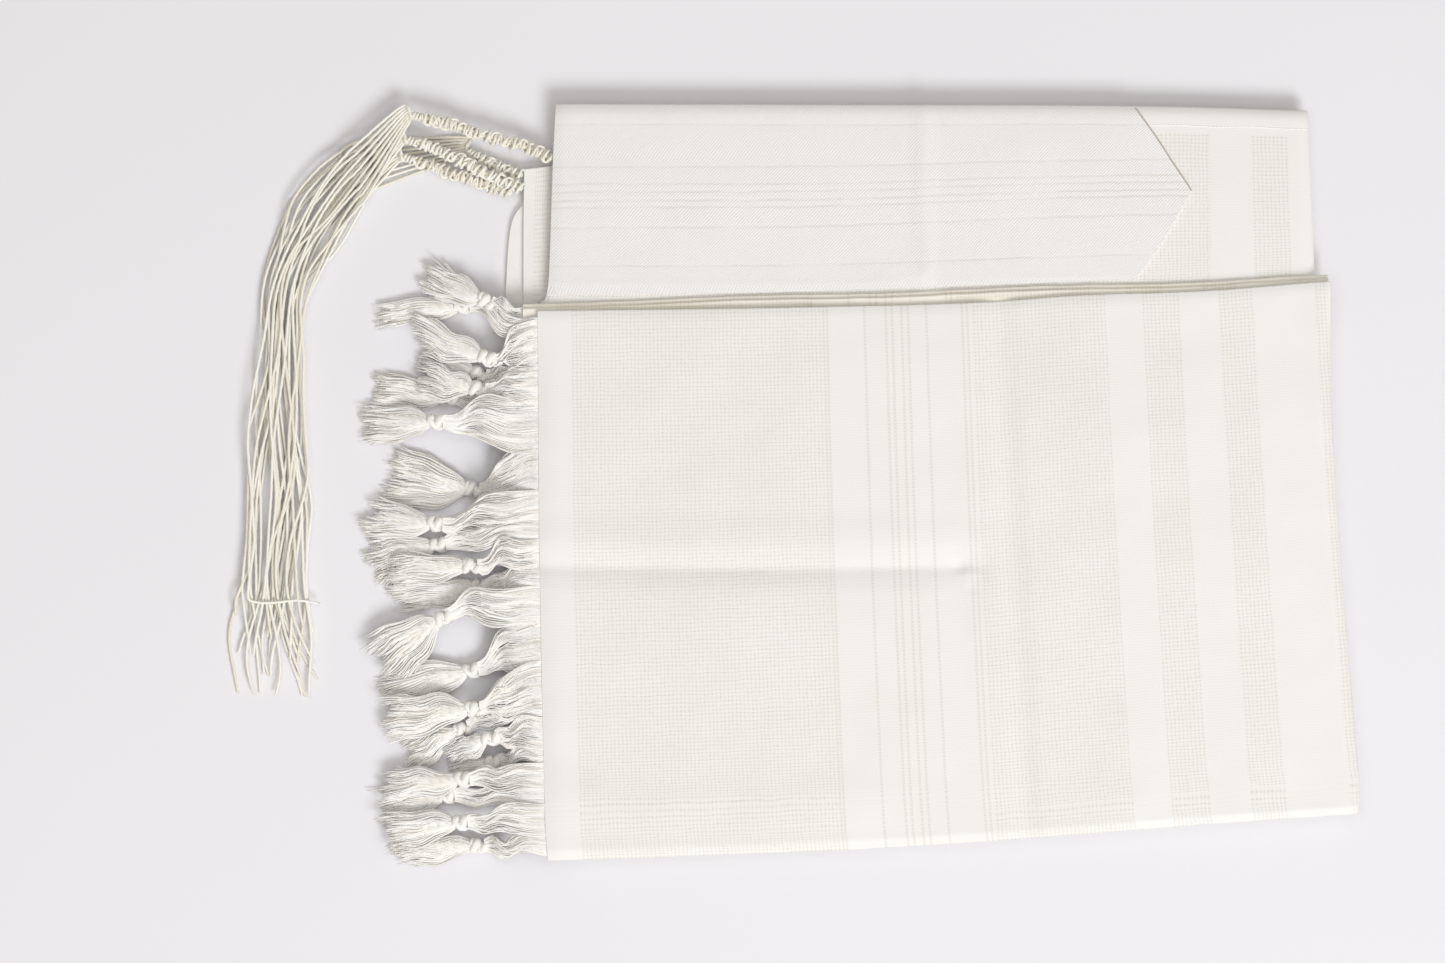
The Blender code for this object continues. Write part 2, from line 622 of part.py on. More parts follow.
def main():
    """Clear the scene and build every piece."""
    for thing in list(bpy.data.objects):
        bpy.data.objects.remove(thing, do_unlink=True)
    cloth = finish("ivory_wool_cloth", (0.85, 0.83, 0.79), 0.85)
    twill = finish("ivory_twill_band", (0.86, 0.84, 0.81), 0.75)
    yarn = finish("white_fringe_yarn", (0.88, 0.86, 0.82), 0.9)
    string = finish("cream_tzitzit_string", (0.80, 0.75, 0.62), 0.9)
    make_stack(cloth)
    make_front_panel(cloth)
    make_upper_panel(cloth)
    make_atarah(twill)
    make_lip("fold_lip_lower", 0.0, 13.75, 15.55, cloth)
    make_lip("fold_lip_upper", 2.2, 15.85, 17.4, cloth)
    make_corner_layer("corner_layer_lower", 151.5, ((-218.6, 146.9), (-226.2, 132.6), (-229.3, 90.0)),
                      (-203.4, -206.9), 0.0, 3.0, cloth)
    make_corner_layer("corner_layer_middle", 165.1, ((-219.0, 163.1), (-219.4, 130.0), (-219.4, 90.0)),
                      (-203.2, -207.4), 3.3, 2.6, cloth)
    for number, row in enumerate(TASSELS, 1):
        make_tassel(f"fringe_tassel_{number:02d}", row, yarn)
    for layer, (name, route) in enumerate(STEMS.items()):
        make_stem(f"{name}_stem", route, string)
        make_strings(f"{name}_strings", route, layer, string)


main()
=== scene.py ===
"""The folded prayer shawl as it lies on a pale floor, seen from straight above.

The cloth pieces repeat the named sizes of the part's own source, in millimetres, and add the
finer creases, stripes and threads. A mesh is turned to metres when it is made.
"""
import math
import random

import bmesh
import bpy
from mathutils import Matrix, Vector, noise


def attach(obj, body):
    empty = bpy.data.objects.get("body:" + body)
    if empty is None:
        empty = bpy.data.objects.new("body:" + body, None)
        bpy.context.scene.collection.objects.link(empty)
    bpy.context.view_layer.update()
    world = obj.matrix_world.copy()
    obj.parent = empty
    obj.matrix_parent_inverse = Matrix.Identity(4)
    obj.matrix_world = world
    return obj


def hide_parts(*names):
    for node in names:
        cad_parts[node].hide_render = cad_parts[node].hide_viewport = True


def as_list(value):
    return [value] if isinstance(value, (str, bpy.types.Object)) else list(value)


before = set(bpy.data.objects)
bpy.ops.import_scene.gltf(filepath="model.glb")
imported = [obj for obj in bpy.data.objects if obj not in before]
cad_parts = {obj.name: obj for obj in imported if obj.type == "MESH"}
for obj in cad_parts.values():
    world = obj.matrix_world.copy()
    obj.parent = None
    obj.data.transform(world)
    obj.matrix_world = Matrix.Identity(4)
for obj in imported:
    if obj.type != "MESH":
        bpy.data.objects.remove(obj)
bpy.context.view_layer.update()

scene = bpy.context.scene
MM = 0.001

# Cloth and clearances, as in the solids
CLOTH = 1.4
GAP = 0.3
LOWER_STACK = 11.5
FRONT_STACK = 17.5
FRONT_WIDTH = 411.0
FRONT_DEPTH = 286.0
UPPER_WIDTH = 391.0
UPPER_DEPTH = 112.0
HEM_TOP_Y = 90.0

# Edges of the front panel, from left to right or from top to bottom
FRONT_TOP = ((-211.6, 88.9), (-96.2, 90.4), (7.8, 92.8), (70.2, 97.0), (132.1, 99.1), (199.7, 104.3))
FRONT_BOTTOM = ((-206.4, -196.3), (-85.8, -192.1), (14.0, -186.7), (138.8, -177.1), (214.5, -171.9))
FRONT_LEFT = ((-211.6, 88.9), (-210.6, -40.3), (-208.0, -165.1), (-206.4, -196.3))
FRONT_RIGHT = ((199.7, 104.3), (201.8, 15.1), (207.0, -61.1), (214.8, -153.1), (214.5, -171.9))

# Edges of the upper panel
UPPER_TOP = ((-202.3, 196.8), (-52.0, 196.4), (97.8, 195.8), (188.8, 193.4))
UPPER_BOTTOM = ((-211.2, 85.0), (-96.2, 85.5), (70.2, 91.5), (193.0, 98.5))
UPPER_LEFT = ((-202.3, 196.8), (-203.8, 167.7), (-206.3, 103.5), (-210.4, 93.5), (-211.2, 85.0))
UPPER_RIGHT = ((188.8, 193.4), (192.4, 107.9), (193.0, 98.5))

# The neckband's pointed end
ARROW_TOP_X = 97.8
ARROW_TIP_X = 127.9
ARROW_FOOT_X = 99.3
ARROW_TIP_V = 0.4
BAND_END_V = 0.848
BAND_THICKNESS = 1.1

LIP_EDGE = ((-219.4, 92.8), (-96.2, 97.0), (-8.3, 99.6), (70.2, 102.7), (132.6, 104.3), (199.2, 107.9))
LIP_DEPTH = 9.0

# Places of the creases
CROSS_CREASE_Y = -44.0
CROSS_CREASE_END_X = 14.0
LONG_TROUGH_X = 28.5
BAND_RIDGE_X = -10.4
BAND_VALLEY_X = -4.2
PUCKER = (12.5, -46.8)
PINCH = (-5.5, 96.5)
# The upper panel's folded corner: a point on its fold line and the direction past it
CORNER_FOLD = (-205.9, 101.7)
CORNER_WAY = (-0.916, 0.401)

# One tassel a row: knot, tip, width of the tips, where its yarns leave the hem, level and tip height
TASSEL_COLUMNS = ("knot_x", "knot_y", "tip_x", "tip_y", "spread", "hem_y", "reach", "level", "tip_z")
TASSELS = (
    (-239.2, 94.5, -268.6, 107.1, 13.0, 87.5, 5.0, 1, 3.4),
    (-251.1, 91.8, -294.0, 87.1, 8.1, 80.9, 7.0, 0, 1.1),
    (-238.2, 64.7, -274.0, 78.5, 13.0, 75.1, 14.0, 1, 6.6),
    (-242.8, 56.4, -275.4, 67.6, 12.0, 61.6, 10.0, 0, 1.1),
    (-242.8, 48.7, -271.7, 54.9, 13.0, 50.7, 13.5, 1, 7.0),
    (-257.9, 44.5, -296.4, 48.6, 11.8, 44.9, 7.0, 0, 1.1),
    (-264.7, 31.5, -300.8, 30.4, 15.0, 29.5, 20.0, 1, 1.6),
    (-246.0, -3.4, -287.5, 2.3, 24.0, 7.0, 21.8, 0, 1.1),
    (-264.7, -21.7, -300.0, -19.0, 14.1, -11.4, 10.9, 1, 3.4),
    (-263.6, -32.5, -299.8, -41.6, 20.0, -23.4, 11.0, 0, 1.1),
    (-246.5, -43.5, -287.3, -46.0, 12.2, -36.6, 10.4, 1, 7.0),
    (-242.3, -54.3, -286.8, -60.2, 11.4, -49.1, 12.6, 0, 1.1),
    (-261.6, -70.5, -293.5, -94.2, 22.0, -64.2, 15.6, 1, 6.4),
    (-246.5, -98.0, -289.1, -110.2, 18.0, -84.0, 19.8, 0, 1.1),
    (-245.4, -117.9, -288.0, -123.5, 17.7, -105.8, 18.8, 1, 6.8),
    (-251.6, -128.7, -277.7, -142.0, 14.0, -117.5, 6.0, 0, 1.1),
    (-236.6, -133.3, -256.3, -141.6, 8.5, -130.5, 12.0, 1, 5.0),
    (-235.6, -146.0, -252.7, -150.4, 8.0, -139.0, 8.0, 0, 1.1),
    (-250.6, -154.7, -291.2, -158.7, 12.0, -152.4, 9.9, 1, 6.4),
    (-258.9, -163.5, -292.2, -169.0, 12.2, -162.3, 9.0, 0, 1.1),
    (-251.7, -177.1, -291.7, -182.5, 14.6, -175.5, 12.0, 1, 7.0),
    (-243.3, -189.5, -288.6, -192.4, 11.0, -188.0, 9.0, 0, 1.1),
)
LEVEL_KNOT_Z = (4.2, 11.8)
THREAD_RADIUS = 0.42

# The loose strings of the tzitzit run between two edges: outer x and y, then inner x and y
STRING_RUN = (
    (-302.6, 182.8, -295.4, 154.2),
    (-324.0, 163.5, -307.8, 137.0),
    (-340.6, 142.2, -317.2, 120.9),
    (-353.1, 108.4, -331.3, 95.9),
    (-355.7, 76.7, -334.4, 76.7),
    (-358.8, 49.1, -335.4, 49.1),
    (-361.4, 22.1, -334.4, 23.7),
    (-361.4, -6.5, -331.8, -10.2),
    (-362.4, -32.5, -333.8, -32.5),
    (-365.0, -57.9, -334.4, -58.1),
    (-369.7, -83.9, -329.2, -84.5),
    (-373.4, -110.9, -320.9, -113.1),
)
STRING_RADIUS = 0.95
STRING_LAYER = 2.05
FLOOR_CLEAR = 1.25
EARLY_LIFT = (0.0, 0.0, 1.3, 2.6)
FAN_SHIFT = (0.0, 0.0, 0.0, 0.9)
# One string of the topmost tzitzit ends crosswise over the others
CROSS_REACH = 0.79
CROSS_END = ((-363.0, -57.5, 7.6), (-360.0, -62.0, 7.9), (-350.0, -62.6, 8.2), (-337.0, -61.4, 7.0),
             (-325.8, -63.2, 4.6))
# One string bows out at the left: where along the run, over what share of it, and how far
BOW_SHARE = 0.845
BOW_SPAN = 0.075
BOW_OUT = -8.5
STEMS = {
    "tzitzit_b": ((-220.4, 160.4, 4.9), (-233.0, 164.6, 3.6), (-239.5, 167.5, 3.4), (-244.0, 170.0, 3.4)),
    "tzitzit_d": ((-226.4, 150.6, 5.8), (-240.2, 155.8, 5.6), (-255.8, 160.4, 5.6), (-268.9, 165.4, 5.6),
                  (-276.8, 168.0, 5.6)),
    "tzitzit_c": ((-220.4, 152.9, 9.6), (-233.0, 158.0, 9.2), (-249.6, 166.3, 8.8), (-263.7, 173.4, 8.8),
                  (-274.7, 176.9, 8.8)),
    "tzitzit_a": ((-204.9, 168.6, 8.5), (-217.4, 174.4, 10.0), (-235.8, 179.4, 11.2), (-249.6, 183.8, 11.4),
                  (-261.6, 187.8, 11.4), (-271.8, 190.0, 11.4)),
}

# Woven stripes, as distances in millimetres from the hem
GAUZE_STRIPES = ((17.2, 147.2), (224.6, 294.3), (313.6, 332.8), (352.6, 371.3), (402.4, 409.6))
OPEN_LINES = ((147.5, 148.7), (149.3, 150.5), (168.7, 170.0), (179.8, 181.1), (183.0, 184.3), (187.9, 189.2),
              (191.3, 192.6), (200.8, 202.1), (219.4, 220.6), (222.1, 223.3))
GAUZE_PITCH = 2.0
# The neckband's woven lines, as distances from its upper edge
BAND_LINES = (11.4, 31.2, 40.0, 43.7, 47.8, 51.0, 60.3, 80.1)
# How much wider the stripes lie at the panel's lower edge
STRETCH_DOWN = 0.038


def linear(code):
    """A linear colour from an sRGB hex code."""
    parts = [int(code[k:k + 2], 16) / 255 for k in (1, 3, 5)]
    return tuple(p / 12.92 if p <= 0.04045 else ((p + 0.055) / 1.055) ** 2.4 for p in parts) + (1.0,)


def add(tree, kind, links=None, **settings):
    """Add a node: settings are its properties, and links its inputs' values or sources."""
    made = tree.nodes.new(kind)
    for key, value in settings.items():
        setattr(made, key, value)
    for key, value in (links or {}).items():
        if isinstance(value, bpy.types.Node):
            value = value.outputs[0]
        if isinstance(value, bpy.types.NodeSocket):
            tree.links.new(value, made.inputs[key])
        else:
            made.inputs[key].default_value = value
    return made


def new_finish(name, roughness, sheen):
    """An empty cloth or yarn finish: its node tree and its shader."""
    material = bpy.data.materials.new(name)
    material.use_nodes = True
    tree = material.node_tree
    shader = tree.nodes["Principled BSDF"]
    shader.inputs["Roughness"].default_value = roughness
    shader.inputs["Metallic"].default_value = 0.0
    shader.inputs["IOR"].default_value = 1.45
    shader.inputs["Specular IOR Level"].default_value = 0.25
    shader.inputs["Sheen Weight"].default_value = sheen
    shader.inputs["Sheen Roughness"].default_value = 0.6
    return material, tree, shader


def blend(tree, share, first, second):
    """A colour between two others, each of them a hex code or a socket."""
    first, second = [linear(end) if isinstance(end, str) else end for end in (first, second)]
    mixed = add(tree, "ShaderNodeMix", {"Factor": share, "A": first, "B": second}, data_type="RGBA")
    return mixed.outputs[2]


def inside(tree, along, spans):
    """1 where along lies in one of the spans, in millimetres, and 0 elsewhere."""
    total = 0.0
    for start, stop in spans:
        hit = add(tree, "ShaderNodeMath", {0: along, 1: (start + stop) / 2, 2: (stop - start) / 2},
                  operation="COMPARE")
        total = add(tree, "ShaderNodeMath", {0: total, 1: hit}, operation="ADD")
    return total


def thread_gaps(tree, along, pitch, narrow):
    """How open the cloth is between evenly spaced threads: 1 in a gap and 0 on a thread."""
    turn = add(tree, "ShaderNodeMath", {0: along, 1: 2 * math.pi / pitch}, operation="MULTIPLY")
    wave = add(tree, "ShaderNodeMath", {0: turn}, operation="COSINE")
    return add(tree, "ShaderNodeMapRange", {"Value": wave, 1: narrow, 2: 1.0, 3: 0.0, 4: 1.0},
               interpolation_type="SMOOTHSTEP")


def cut_place(tree):
    """The place on the cut cloth in millimetres, with the slow drift of handled threads."""
    place = add(tree, "ShaderNodeUVMap", uv_map="cut")
    millimetres = add(tree, "ShaderNodeVectorMath", {0: place, 1: (1000, 1000, 1)}, operation="MULTIPLY")
    drift = add(tree, "ShaderNodeTexNoise", {"Vector": millimetres, "Scale": 0.09, "Detail": 2.0})
    moved = add(tree, "ShaderNodeVectorMath",
                {0: drift.outputs["Color"], 1: (1.5, 1.5, 0), 2: (-0.75, -0.75, 0)}, operation="MULTIPLY_ADD")
    woven = add(tree, "ShaderNodeVectorMath", {0: millimetres, 1: moved}, operation="ADD")
    return millimetres, woven


def make_shawl_cloth(name, plain, hollow):
    """Fine ivory cotton and wool: smooth cloth, gauze stripes with a soft grid, and thin open lines."""
    material, tree, shader = new_finish(name, 0.86, 0.12)
    millimetres, woven = cut_place(tree)
    bare = add(tree, "ShaderNodeSeparateXYZ", {0: millimetres})
    threads = add(tree, "ShaderNodeSeparateXYZ", {0: woven})
    gauze = inside(tree, bare.outputs[0], GAUZE_STRIPES)
    lines = inside(tree, bare.outputs[0], OPEN_LINES)
    warp_gap = thread_gaps(tree, threads.outputs[0], GAUZE_PITCH, 0.05)
    weft_gap = thread_gaps(tree, threads.outputs[1], GAUZE_PITCH, 0.05)
    hole = add(tree, "ShaderNodeMath", {0: warp_gap, 1: weft_gap}, operation="MULTIPLY")
    lattice = add(tree, "ShaderNodeMath", {0: warp_gap, 1: weft_gap}, operation="MAXIMUM")
    hole = add(tree, "ShaderNodeMath", {0: hole, 1: 0.7}, operation="MULTIPLY")
    open_part = add(tree, "ShaderNodeMath", {0: lattice, 1: 0.34, 2: hole}, operation="MULTIPLY_ADD")
    # Some squares of the grid are more open than others
    uneven = add(tree, "ShaderNodeTexNoise", {"Vector": millimetres, "Scale": 0.35, "Detail": 3.0})
    uneven_open = add(tree, "ShaderNodeMapRange",
                      {"Value": uneven.outputs[0], 1: 0.3, 2: 0.7, 3: 0.55, 4: 1.15})
    open_part = add(tree, "ShaderNodeMath", {0: open_part, 1: uneven_open}, operation="MULTIPLY")
    gauze_open = add(tree, "ShaderNodeMath", {0: open_part, 1: gauze}, operation="MULTIPLY")
    dotted = add(tree, "ShaderNodeMath", {0: weft_gap, 1: 0.4, 2: 0.3}, operation="MULTIPLY_ADD")
    line_open = add(tree, "ShaderNodeMath", {0: dotted, 1: lines}, operation="MULTIPLY")
    openness = add(tree, "ShaderNodeMath", {0: gauze_open, 1: line_open}, operation="ADD", use_clamp=True)
    cloudy = add(tree, "ShaderNodeTexNoise", {"Vector": millimetres, "Scale": 0.02, "Detail": 4.0})
    cloudy_share = add(tree, "ShaderNodeMapRange",
                       {"Value": cloudy.outputs[0], 1: 0.35, 2: 0.7, 3: 0.0, 4: 0.35})
    ground = blend(tree, cloudy_share, plain, "#ebe8e2")
    tree.links.new(blend(tree, openness, ground, hollow), shader.inputs["Base Color"])
    # Weft ribs and the grain of the weave
    rib = add(tree, "ShaderNodeTexWave", {"Vector": woven, "Scale": 0.22, "Distortion": 1.5, "Detail": 2.0},
              bands_direction="Y")
    grain = add(tree, "ShaderNodeTexNoise", {"Vector": millimetres, "Scale": 1.3, "Detail": 3.0})
    relief = add(tree, "ShaderNodeMath", {0: rib.outputs[1], 1: 0.3, 2: grain.outputs[0]},
                 operation="MULTIPLY_ADD")
    relief = add(tree, "ShaderNodeMath", {0: openness, 1: -0.7, 2: relief}, operation="MULTIPLY_ADD")
    raised = add(tree, "ShaderNodeBump", {"Height": relief, "Distance": 0.00018, "Strength": 0.55})
    tree.links.new(raised.outputs[0], shader.inputs["Normal"])
    return material


def make_twill_cloth():
    """Cotton twill: slanting ribs, drawn coarse enough to show, and woven lines along the band."""
    material, tree, shader = new_finish("woven_cotton_twill", 0.78, 0.15)
    millimetres, woven = cut_place(tree)
    threads = add(tree, "ShaderNodeSeparateXYZ", {0: woven})
    slant = add(tree, "ShaderNodeMath", {0: threads.outputs[0], 1: 1.0, 2: threads.outputs[1]},
                operation="MULTIPLY_ADD")
    rib_gap = thread_gaps(tree, slant, 1.7, -0.4)
    down = threads.outputs[1]
    lines = inside(tree, down, [(v - 0.45, v + 0.45) for v in BAND_LINES])
    bright = inside(tree, down, [(v - 1.7, v - 0.6) for v in BAND_LINES])
    worn = add(tree, "ShaderNodeTexNoise", {"Vector": millimetres, "Scale": 0.03, "Detail": 4.0})
    worn_share = add(tree, "ShaderNodeMapRange", {"Value": worn.outputs[0], 1: 0.35, 2: 0.7, 3: 0.0, 4: 0.5})
    ground = blend(tree, worn_share, "#f5f4f2", "#f2f0ed")
    rib_share = add(tree, "ShaderNodeMath", {0: rib_gap, 1: 0.2}, operation="MULTIPLY")
    ribbed = blend(tree, rib_share, ground, "#d8d0c4")
    patchy = add(tree, "ShaderNodeMapRange", {"Value": worn.outputs[0], 1: 0.38, 2: 0.62, 3: 0.02, 4: 0.26})
    line_share = add(tree, "ShaderNodeMath", {0: lines, 1: patchy}, operation="MULTIPLY")
    lined = blend(tree, line_share, ribbed, "#d3cabb")
    bright_share = add(tree, "ShaderNodeMath", {0: bright, 1: 0.35}, operation="MULTIPLY")
    tree.links.new(blend(tree, bright_share, lined, "#f6f5f2"), shader.inputs["Base Color"])
    grain = add(tree, "ShaderNodeTexNoise", {"Vector": millimetres, "Scale": 1.1, "Detail": 3.0})
    relief = add(tree, "ShaderNodeMath", {0: rib_gap, 1: -0.55, 2: grain.outputs[0]},
                 operation="MULTIPLY_ADD")
    relief = add(tree, "ShaderNodeMath", {0: lines, 1: -0.25, 2: relief}, operation="MULTIPLY_ADD")
    raised = add(tree, "ShaderNodeBump", {"Height": relief, "Distance": 0.0003, "Strength": 0.7})
    tree.links.new(raised.outputs[0], shader.inputs["Normal"])
    return material


def make_yarn(name, light, dark, grain_scale):
    """Soft spun yarn: each thread has its own tone, and a fine lengthwise unevenness."""
    material, tree, shader = new_finish(name, 0.9, 0.9)
    tone = add(tree, "ShaderNodeAttribute", attribute_name="tone")
    place = add(tree, "ShaderNodeTexCoord")
    grain = add(tree, "ShaderNodeTexNoise",
                {"Vector": place.outputs["Object"], "Scale": grain_scale, "Detail": 3.0})
    mixed = add(tree, "ShaderNodeMath", {0: grain.outputs[0], 1: 0.5, 2: tone.outputs["Fac"]},
                operation="MULTIPLY_ADD")
    share = add(tree, "ShaderNodeMapRange", {"Value": mixed, 1: 0.3, 2: 1.4, 3: 0.0, 4: 1.0})
    tree.links.new(blend(tree, share, light, dark), shader.inputs["Base Color"])
    raised = add(tree, "ShaderNodeBump", {"Height": grain.outputs[0], "Distance": 0.0002, "Strength": 0.4})
    tree.links.new(raised.outputs[0], shader.inputs["Normal"])
    return material


def make_floor_finish():
    """Smooth matt paper, very slightly cool."""
    material, tree, shader = new_finish("matt_white_paper", 0.9, 0.0)
    place = add(tree, "ShaderNodeTexCoord")
    grain = add(tree, "ShaderNodeTexNoise", {"Vector": place.outputs["Object"], "Scale": 3.0, "Detail": 2.0})
    share = add(tree, "ShaderNodeMapRange", {"Value": grain.outputs[0], 1: 0.3, 2: 0.7, 3: 0.0, 4: 1.0})
    tree.links.new(blend(tree, share, "#edecef", "#ecebee"), shader.inputs["Base Color"])
    return material


def spline(points, t):
    """The point at t from 0 to 1 on a smooth curve through points, spaced by their distance."""
    points = [Vector(p) for p in points]
    marks = [0.0]
    for first, second in zip(points, points[1:]):
        marks.append(marks[-1] + (second - first).length)
    place = min(max(t, 0.0), 1.0) * marks[-1]
    span = 0
    while span < len(points) - 2 and place > marks[span + 1]:
        span += 1
    local = (place - marks[span]) / (marks[span + 1] - marks[span])
    p1 = points[span]
    p2 = points[span + 1]
    p0 = points[span - 1] if span > 0 else p1 * 2 - p2
    p3 = points[span + 2] if span + 2 < len(points) else p2 * 2 - p1
    return 0.5 * (2 * p1 + (p2 - p0) * local + (2 * p0 - 5 * p1 + 4 * p2 - p3) * local ** 2
                  + (3 * p1 - p0 - 3 * p2 + p3) * local ** 3)


def patch(top, bottom, left, right):
    """A surface between four edges: a function of u across and v down, quick to read again."""
    corners = [Vector(p) for p in (top[0], top[-1], bottom[0], bottom[-1])]
    known = {}

    def edge(name, points, t):
        if (name, t) not in known:
            known[name, t] = spline(points, t)
        return known[name, t]

    def place(u, v):
        across = edge("top", top, u) * (1 - v) + edge("bottom", bottom, u) * v
        down = edge("left", left, v) * (1 - u) + edge("right", right, v) * u
        sides = (corners[0] * (1 - u) * (1 - v) + corners[1] * u * (1 - v)
                 + corners[2] * (1 - u) * v + corners[3] * u * v)
        return across + down - sides

    return place


def bump(distance, width):
    """A smooth hump, 1 in its middle and 0 from width on."""
    if abs(distance) >= width:
        return 0.0
    return 0.5 + 0.5 * math.cos(math.pi * distance / width)


def crease(distance, width):
    """A sharp fold line: 1 on the line, falling away quickly on both sides."""
    return math.exp(-abs(distance) / width)


def edge_drop(distance, depth, width):
    """How far a cloth rounds down near its edge."""
    return depth * (1 - distance / width) ** 2 if distance < width else 0.0


def clamp(value):
    """A value kept from 0 to 1."""
    return min(max(value, 0.0), 1.0)


def swell(x, y, size, seed):
    """Slow, even unevenness of a lying cloth, from about -1 to 1."""
    return noise.noise(Vector((x / size, y / size, seed)))


def front_height(u, v, point):
    """Underside of the front panel: the solid's form with its creases drawn finer."""
    x = point.x
    y = point.y
    across = x + 0.05 * (y - HEM_TOP_Y)
    below_lips = min(v * FRONT_DEPTH / 30, 1)
    height = FRONT_STACK + GAP + 1.7
    fade = 1 - clamp((x - CROSS_CREASE_END_X) / 12)
    crease_y = CROSS_CREASE_Y + 0.9 * math.sin(x / 60)
    height -= 1.3 * bump(y - crease_y, 14) * fade
    height -= 1.4 * crease(y - crease_y, 2.6) * fade
    height += 0.5 * bump(y - CROSS_CREASE_Y - 16, 14) * fade
    height -= 1.3 * bump(across - LONG_TROUGH_X, 11)
    height += 0.5 * bump(across - LONG_TROUGH_X + 17, 14)
    height += 0.35 * math.sin(y / 27 + x / 70)
    # The pucker where the cross crease ends: a small four-sided peak with a notch at its left
    off_x = abs(x - PUCKER[0]) / 7.0
    off_y = abs(y - PUCKER[1]) / 7.5
    height += 1.9 * clamp(1 - off_x - off_y)
    height -= 0.9 * bump(x - PUCKER[0] + 6, 5) * bump(y - PUCKER[1] - 3, 3)
    height -= 0.6 * bump(x - PUCKER[0] - 2, 6) * bump(y - PUCKER[1] + 9, 2.5)
    # Soft waves in the right stripes and a low swell near the lower edge
    height += 0.6 * bump(x - 178, 40) * math.sin((y - 25) / 11) * bump(y - 30, 75)
    height += 0.6 * bump(y + 168, 22) * clamp((60 - x) / 120)
    height += 0.75 * swell(x, y, 46, 2.0) + 0.26 * swell(x, y, 17, 5.0)
    height -= edge_drop(u * FRONT_WIDTH, 1.4, 10) * below_lips
    height -= edge_drop((1 - u) * FRONT_WIDTH, 3.2, 7) * below_lips
    height -= edge_drop(v * FRONT_DEPTH, 0.9, 5)
    height -= edge_drop((1 - v) * FRONT_DEPTH, 3.0, 8)
    return height


def upper_height(point, u, v):
    """Underside of the upper panel, with the pinched fold and its rounded edges."""
    x = point.x
    height = LOWER_STACK + GAP
    ridge = 1 - clamp((v - 0.78) / 0.1)
    height += 0.9 * bump(x - BAND_RIDGE_X, 9) * ridge
    height += 0.9 * crease(x - BAND_RIDGE_X + 1.5 * math.sin(v * 5), 2.0) * ridge
    height -= 0.5 * crease(x - BAND_VALLEY_X, 2.0) * ridge
    height += 0.25 * (1 + math.sin(x / 31)) * bump(v - 0.5, 0.6)
    height += 0.2 * (1 + swell(x, point.y, 38, 9.0)) * bump(v - 0.45, 0.5)
    height -= edge_drop(v * UPPER_DEPTH, 2.2, 6)
    height -= edge_drop((1 - u) * UPPER_WIDTH, 2.2, 6)
    height -= edge_drop(u * UPPER_WIDTH, 1.2, 6)
    # The pinch where the band's crease meets the lips, and the corner folded under at the lower left
    height += 1.5 * bump(x - PINCH[0], 9) * bump(point.y - PINCH[1], 5)
    past_fold = (x - CORNER_FOLD[0]) * CORNER_WAY[0] + (point.y - CORNER_FOLD[1]) * CORNER_WAY[1]
    height -= 1.5 * clamp(past_fold / 0.7) * clamp((104 - point.y) / 3)
    return height


def new_piece(name, points, faces, material, cut=None, smooth_angle=45):
    """One named object from points in millimetres; cut gives each point's place on the flat cloth."""
    mesh = bpy.data.meshes.new(name)
    mesh.from_pydata([tuple(p * MM for p in point) for point in points], [], faces)
    work = bmesh.new()
    work.from_mesh(mesh)
    bmesh.ops.recalc_face_normals(work, faces=work.faces)
    work.to_mesh(mesh)
    work.free()
    if cut:
        layer = mesh.uv_layers.new(name="cut")
        flat = []
        for loop in mesh.loops:
            across, down = cut[loop.vertex_index]
            flat += [across * MM, down * MM]
        layer.data.foreach_set("uv", flat)
    mesh.shade_smooth()
    mesh.set_sharp_from_angle(angle=math.radians(smooth_angle))
    mesh.materials.append(material)
    piece = bpy.data.objects.new(name, mesh)
    scene.collection.objects.link(piece)
    return piece


def shell(name, place, measure, stations_u, stations_v, thickness, material, round_out=0.3):
    """A closed cloth shell: place(u, v) is its underside and measure gives its place on the cut cloth."""
    wide = len(stations_u)
    deep = len(stations_v)
    under = []
    cut = []
    for v in stations_v:
        for u in stations_u:
            under.append(place(u, v))
            cut.append(measure(under[-1], u, v))
    over = [p + Vector((0, 0, thickness)) for p in under]
    rim = [(0, i) for i in range(wide)]
    rim += [(j, wide - 1) for j in range(1, deep)]
    rim += [(deep - 1, i) for i in range(wide - 2, -1, -1)]
    rim += [(j, 0) for j in range(deep - 2, 0, -1)]
    centre = sum(under, Vector()) / len(under)
    middle = []
    for j, i in rim:
        low = under[j * wide + i]
        sideways = Vector(((i == wide - 1) - (i == 0), (j == 0) - (j == deep - 1), 0))
        if sideways.length == 0:
            sideways = (low - centre) * Vector((1, 1, 0))
        middle.append(low + Vector((0, 0, thickness / 2)) + sideways.normalized() * round_out)
    faces = []
    top_start = len(under)
    rim_start = 2 * len(under)
    for j in range(deep - 1):
        for i in range(wide - 1):
            a = j * wide + i
            faces.append((a, a + 1, a + 1 + wide, a + wide))
            faces.append(tuple(top_start + k for k in (a, a + wide, a + 1 + wide, a + 1)))
    for k in range(len(rim)):
        n = (k + 1) % len(rim)
        a = rim[k][0] * wide + rim[k][1]
        b = rim[n][0] * wide + rim[n][1]
        faces.append((a, b, rim_start + n, rim_start + k))
        faces.append((rim_start + k, rim_start + n, top_start + b, top_start + a))
    rim_cut = [cut[j * wide + i] for j, i in rim]
    return new_piece(name, under + over + middle, faces, material, cut + cut + rim_cut)


def even(count):
    """Even stations from 0 to 1."""
    return [k / count for k in range(count + 1)]


def front_cut(point, u, v):
    """Place on the cut cloth: distance from the hem, then distance down from the lips."""
    hem = spline(FRONT_LEFT, v).x
    return (point.x - hem) / (1 + STRETCH_DOWN * v), v * FRONT_DEPTH


